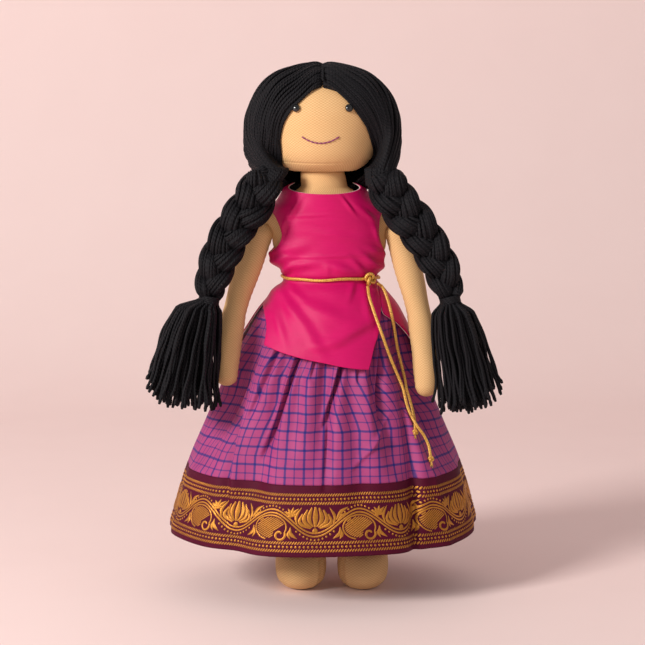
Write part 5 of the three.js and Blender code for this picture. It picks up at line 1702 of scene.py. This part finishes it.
def tassel_paths(side):
    """Yarns spread evenly over a disc by the golden angle. Each leaves the tie over a shoulder,
    falls at its own angle in the fan, and curls a little on its way."""
    path, along, _, _ = plait_frame(side)
    top = path[-1] + along[-1] * (1.0 if side > 0 else -1.5)
    fan, wider = (0.19, 7.5) if side > 0 else (0.262, 8.5)
    lean_at_tie, lean_below = (0.6, 1.0) if side > 0 else (-6.0, 2.5)
    ray = np.sqrt((np.arange(TASSEL_YARNS) + 0.5) / TASSEL_YARNS)
    spin = np.arange(TASSEL_YARNS) * GOLDEN_TURN + 0.2 * rng.normal(size=TASSEL_YARNS)
    over, fore = (ray * np.cos(spin))[:, None], (ray * np.sin(spin))[:, None]
    share = np.linspace(0, 1, 34)[None]
    cut = 0.95 + 0.07 * per_yarn(-1, 1) - 0.17 * np.maximum(over * side, 0) ** 2
    reach = TASSEL_LENGTH * cut * share
    bow = 1.15 - 0.2 * share
    out_angle = side * fan * (1 + over * side) * bow
    out_angle = out_angle + 0.03 * rng.normal(size=(TASSEL_YARNS, 1)) * share
    fore_angle = 0.14 + 0.10 * fore + 0.015 * rng.normal(size=(TASSEL_YARNS, 1)) * share
    shoulder = 7.0 + wider * smooth_step(0.0, 0.13, share) - 3.2 * smooth_step(0.3, 0.8, share)
    slow = np.sin(share * 6 + per_yarn(0, 6.3))
    curl = share * (slow + 0.7 * np.sin(share * 15 + per_yarn(0, 6.3)))
    aside = lean_at_tie * smooth_step(0.0, 0.1, share) + lean_below * smooth_step(0.3, 1.0, share)
    x = top[0] + aside + reach * np.sin(out_angle) + shoulder * over + curl
    y = top[1] - reach * np.sin(fore_angle) - shoulder * fore + curl * 0.6
    z = top[2] - reach * np.cos(out_angle) * np.cos(fore_angle)
    thick = 1.12 * (1 - 0.22 * smooth_step(0.9, 1.0, share)) + 0.5 * hump(share, 0.972, 0.014)
    return np.stack([x, y, z], axis=-1), np.broadcast_to(thick, x.shape)


print(TASSEL_YARNS, "yarns in each tassel")

# %% Tassels
for word, side in (("right", -1), ("left", 1)):
    paths, thick = tassel_paths(side)
    tassel = tubes(f"{word}_tassel_yarn", paths, thick, 6)
    dress(tassel, wool, f"{word}_plait", "black_yarn", f"{word}_tassel")

# %% [markdown]
# ## What stays hidden
#
# The stuffing, the waistband and its elastic keep the solids' own shape, because nothing shows
# them. They still get a finish of their own, for whoever takes the doll apart.

# %% Stuffing, waistband and elastic
stuffing = Paint("stuffing", roughness=0.95, sheen_weight=0.3)
fibres = stuffing.noise(stuffing.places(), 0.5, 5.0)
stuffing.feed(
    base_color=stuffing.mix(fibres, colour(226, 222, 212), colour(248, 246, 240)),
    normal=stuffing.bump(fibres, 0.8, 0.6),
)
elastic = Paint("elastic", roughness=0.7)
ribs = elastic.numbers(elastic.places())[2].wave(1.1) * 0.5 + 0.5
elastic.feed(
    base_color=elastic.mix(ribs, colour(222, 216, 204), colour(245, 241, 232)),
    normal=elastic.bump(ribs, 0.3, 0.6),
)
band_cloth = Paint("waistband_cloth", roughness=0.65)
across, _, up = band_cloth.numbers(band_cloth.places())
rows, columns = (place.apart(CHECK_SPACING / 2).within(0.5, 0.3) for place in (up, across))
band_lines = rows.math("MAXIMUM", columns) * 0.8
band_cloth.feed(
    base_color=band_cloth.mix(band_lines, colour(182, 66, 142), colour(52, 52, 160)),
)
stuffed_parts = ("torso", "head", "right_arm", "left_arm", "right_leg", "left_leg")
hidden = {f"{part}_filling": stuffing for part in stuffed_parts}
hidden.update(waist_elastic=elastic, skirt_waistband=band_cloth)
for node, paint in hidden.items():
    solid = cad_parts[node]
    solid.data.materials.clear()
    solid.data.materials.append(paint.material)
print(len(hidden), "hidden pieces finished")

# %% [markdown]
# ## Floor, backdrop and light
#
# A sheet of pale pink paper curves up behind the doll, lit by one large soft lamp from the upper
# left and a weaker one from the right, so that shadows are soft and the colours come out as
# written.

# %% Paper, lamps and world
PAPER_FRONT, PAPER_FLAT, PAPER_BEND, PAPER_WALL, PAPER_HALF = -2500, 3300, 700, 3000, 4000
along, across = np.meshgrid(
    np.linspace(0, 1, 60), np.linspace(-PAPER_HALF, PAPER_HALF, 3), indexing="ij"
)
turn = np.clip((along - 0.5) / 0.25, 0, 1) * np.pi / 2
back = PAPER_FRONT + PAPER_FLAT * np.clip(along / 0.5, 0, 1) + PAPER_BEND * np.sin(turn)
height = PAPER_BEND * (1 - np.cos(turn)) + PAPER_WALL * np.clip((along - 0.75) / 0.25, 0, 1)
paper = sheet("paper", np.stack([across, back, height], axis=-1), turned=True)
paper_paint = Paint("pink_paper", roughness=0.9)
grain = paper_paint.noise(paper_paint.places(), 0.01)
paper_paint.feed(base_color=paper_paint.mix(grain, colour(247, 222, 218), colour(250, 226, 222)))
paper.data.materials.append(paper_paint.material)


def add_lamp(name, place, aim, size, watts, tint):
    """A square soft lamp at a place in metres, turned to shine at another."""
    lamp = bpy.data.lights.new(name, "AREA")
    lamp.size, lamp.energy, lamp.color = size, watts, tint
    holder = bpy.data.objects.new(name, lamp)
    holder.location = place
    x, y, z = np.array(aim) - np.array(place)
    holder.rotation_euler = (np.arctan2(np.hypot(x, y), -z), 0.0, np.arctan2(y, x) - np.pi / 2)
    bpy.context.scene.collection.objects.link(holder)


add_lamp("key", (-1.62, -1.45, 1.22), (0, 0, 0.2), 0.6, 54, (1.0, 0.98, 0.95))
add_lamp("fill", (1.5, -1.6, 0.8), (0, 0, 0.2), 1.2, 1.6, (1.0, 0.97, 0.96))
world = bpy.data.worlds.new("studio")
world.use_nodes = True
background = world.node_tree.nodes["Background"]
background.inputs["Color"].default_value = (1.0, 0.965, 0.955, 1.0)
background.inputs["Strength"].default_value = 0.44
bpy.context.scene.world = world
bpy.context.scene.view_settings.view_transform = "Standard"
print(len(bpy.data.lights), "lamps and the world light the doll")
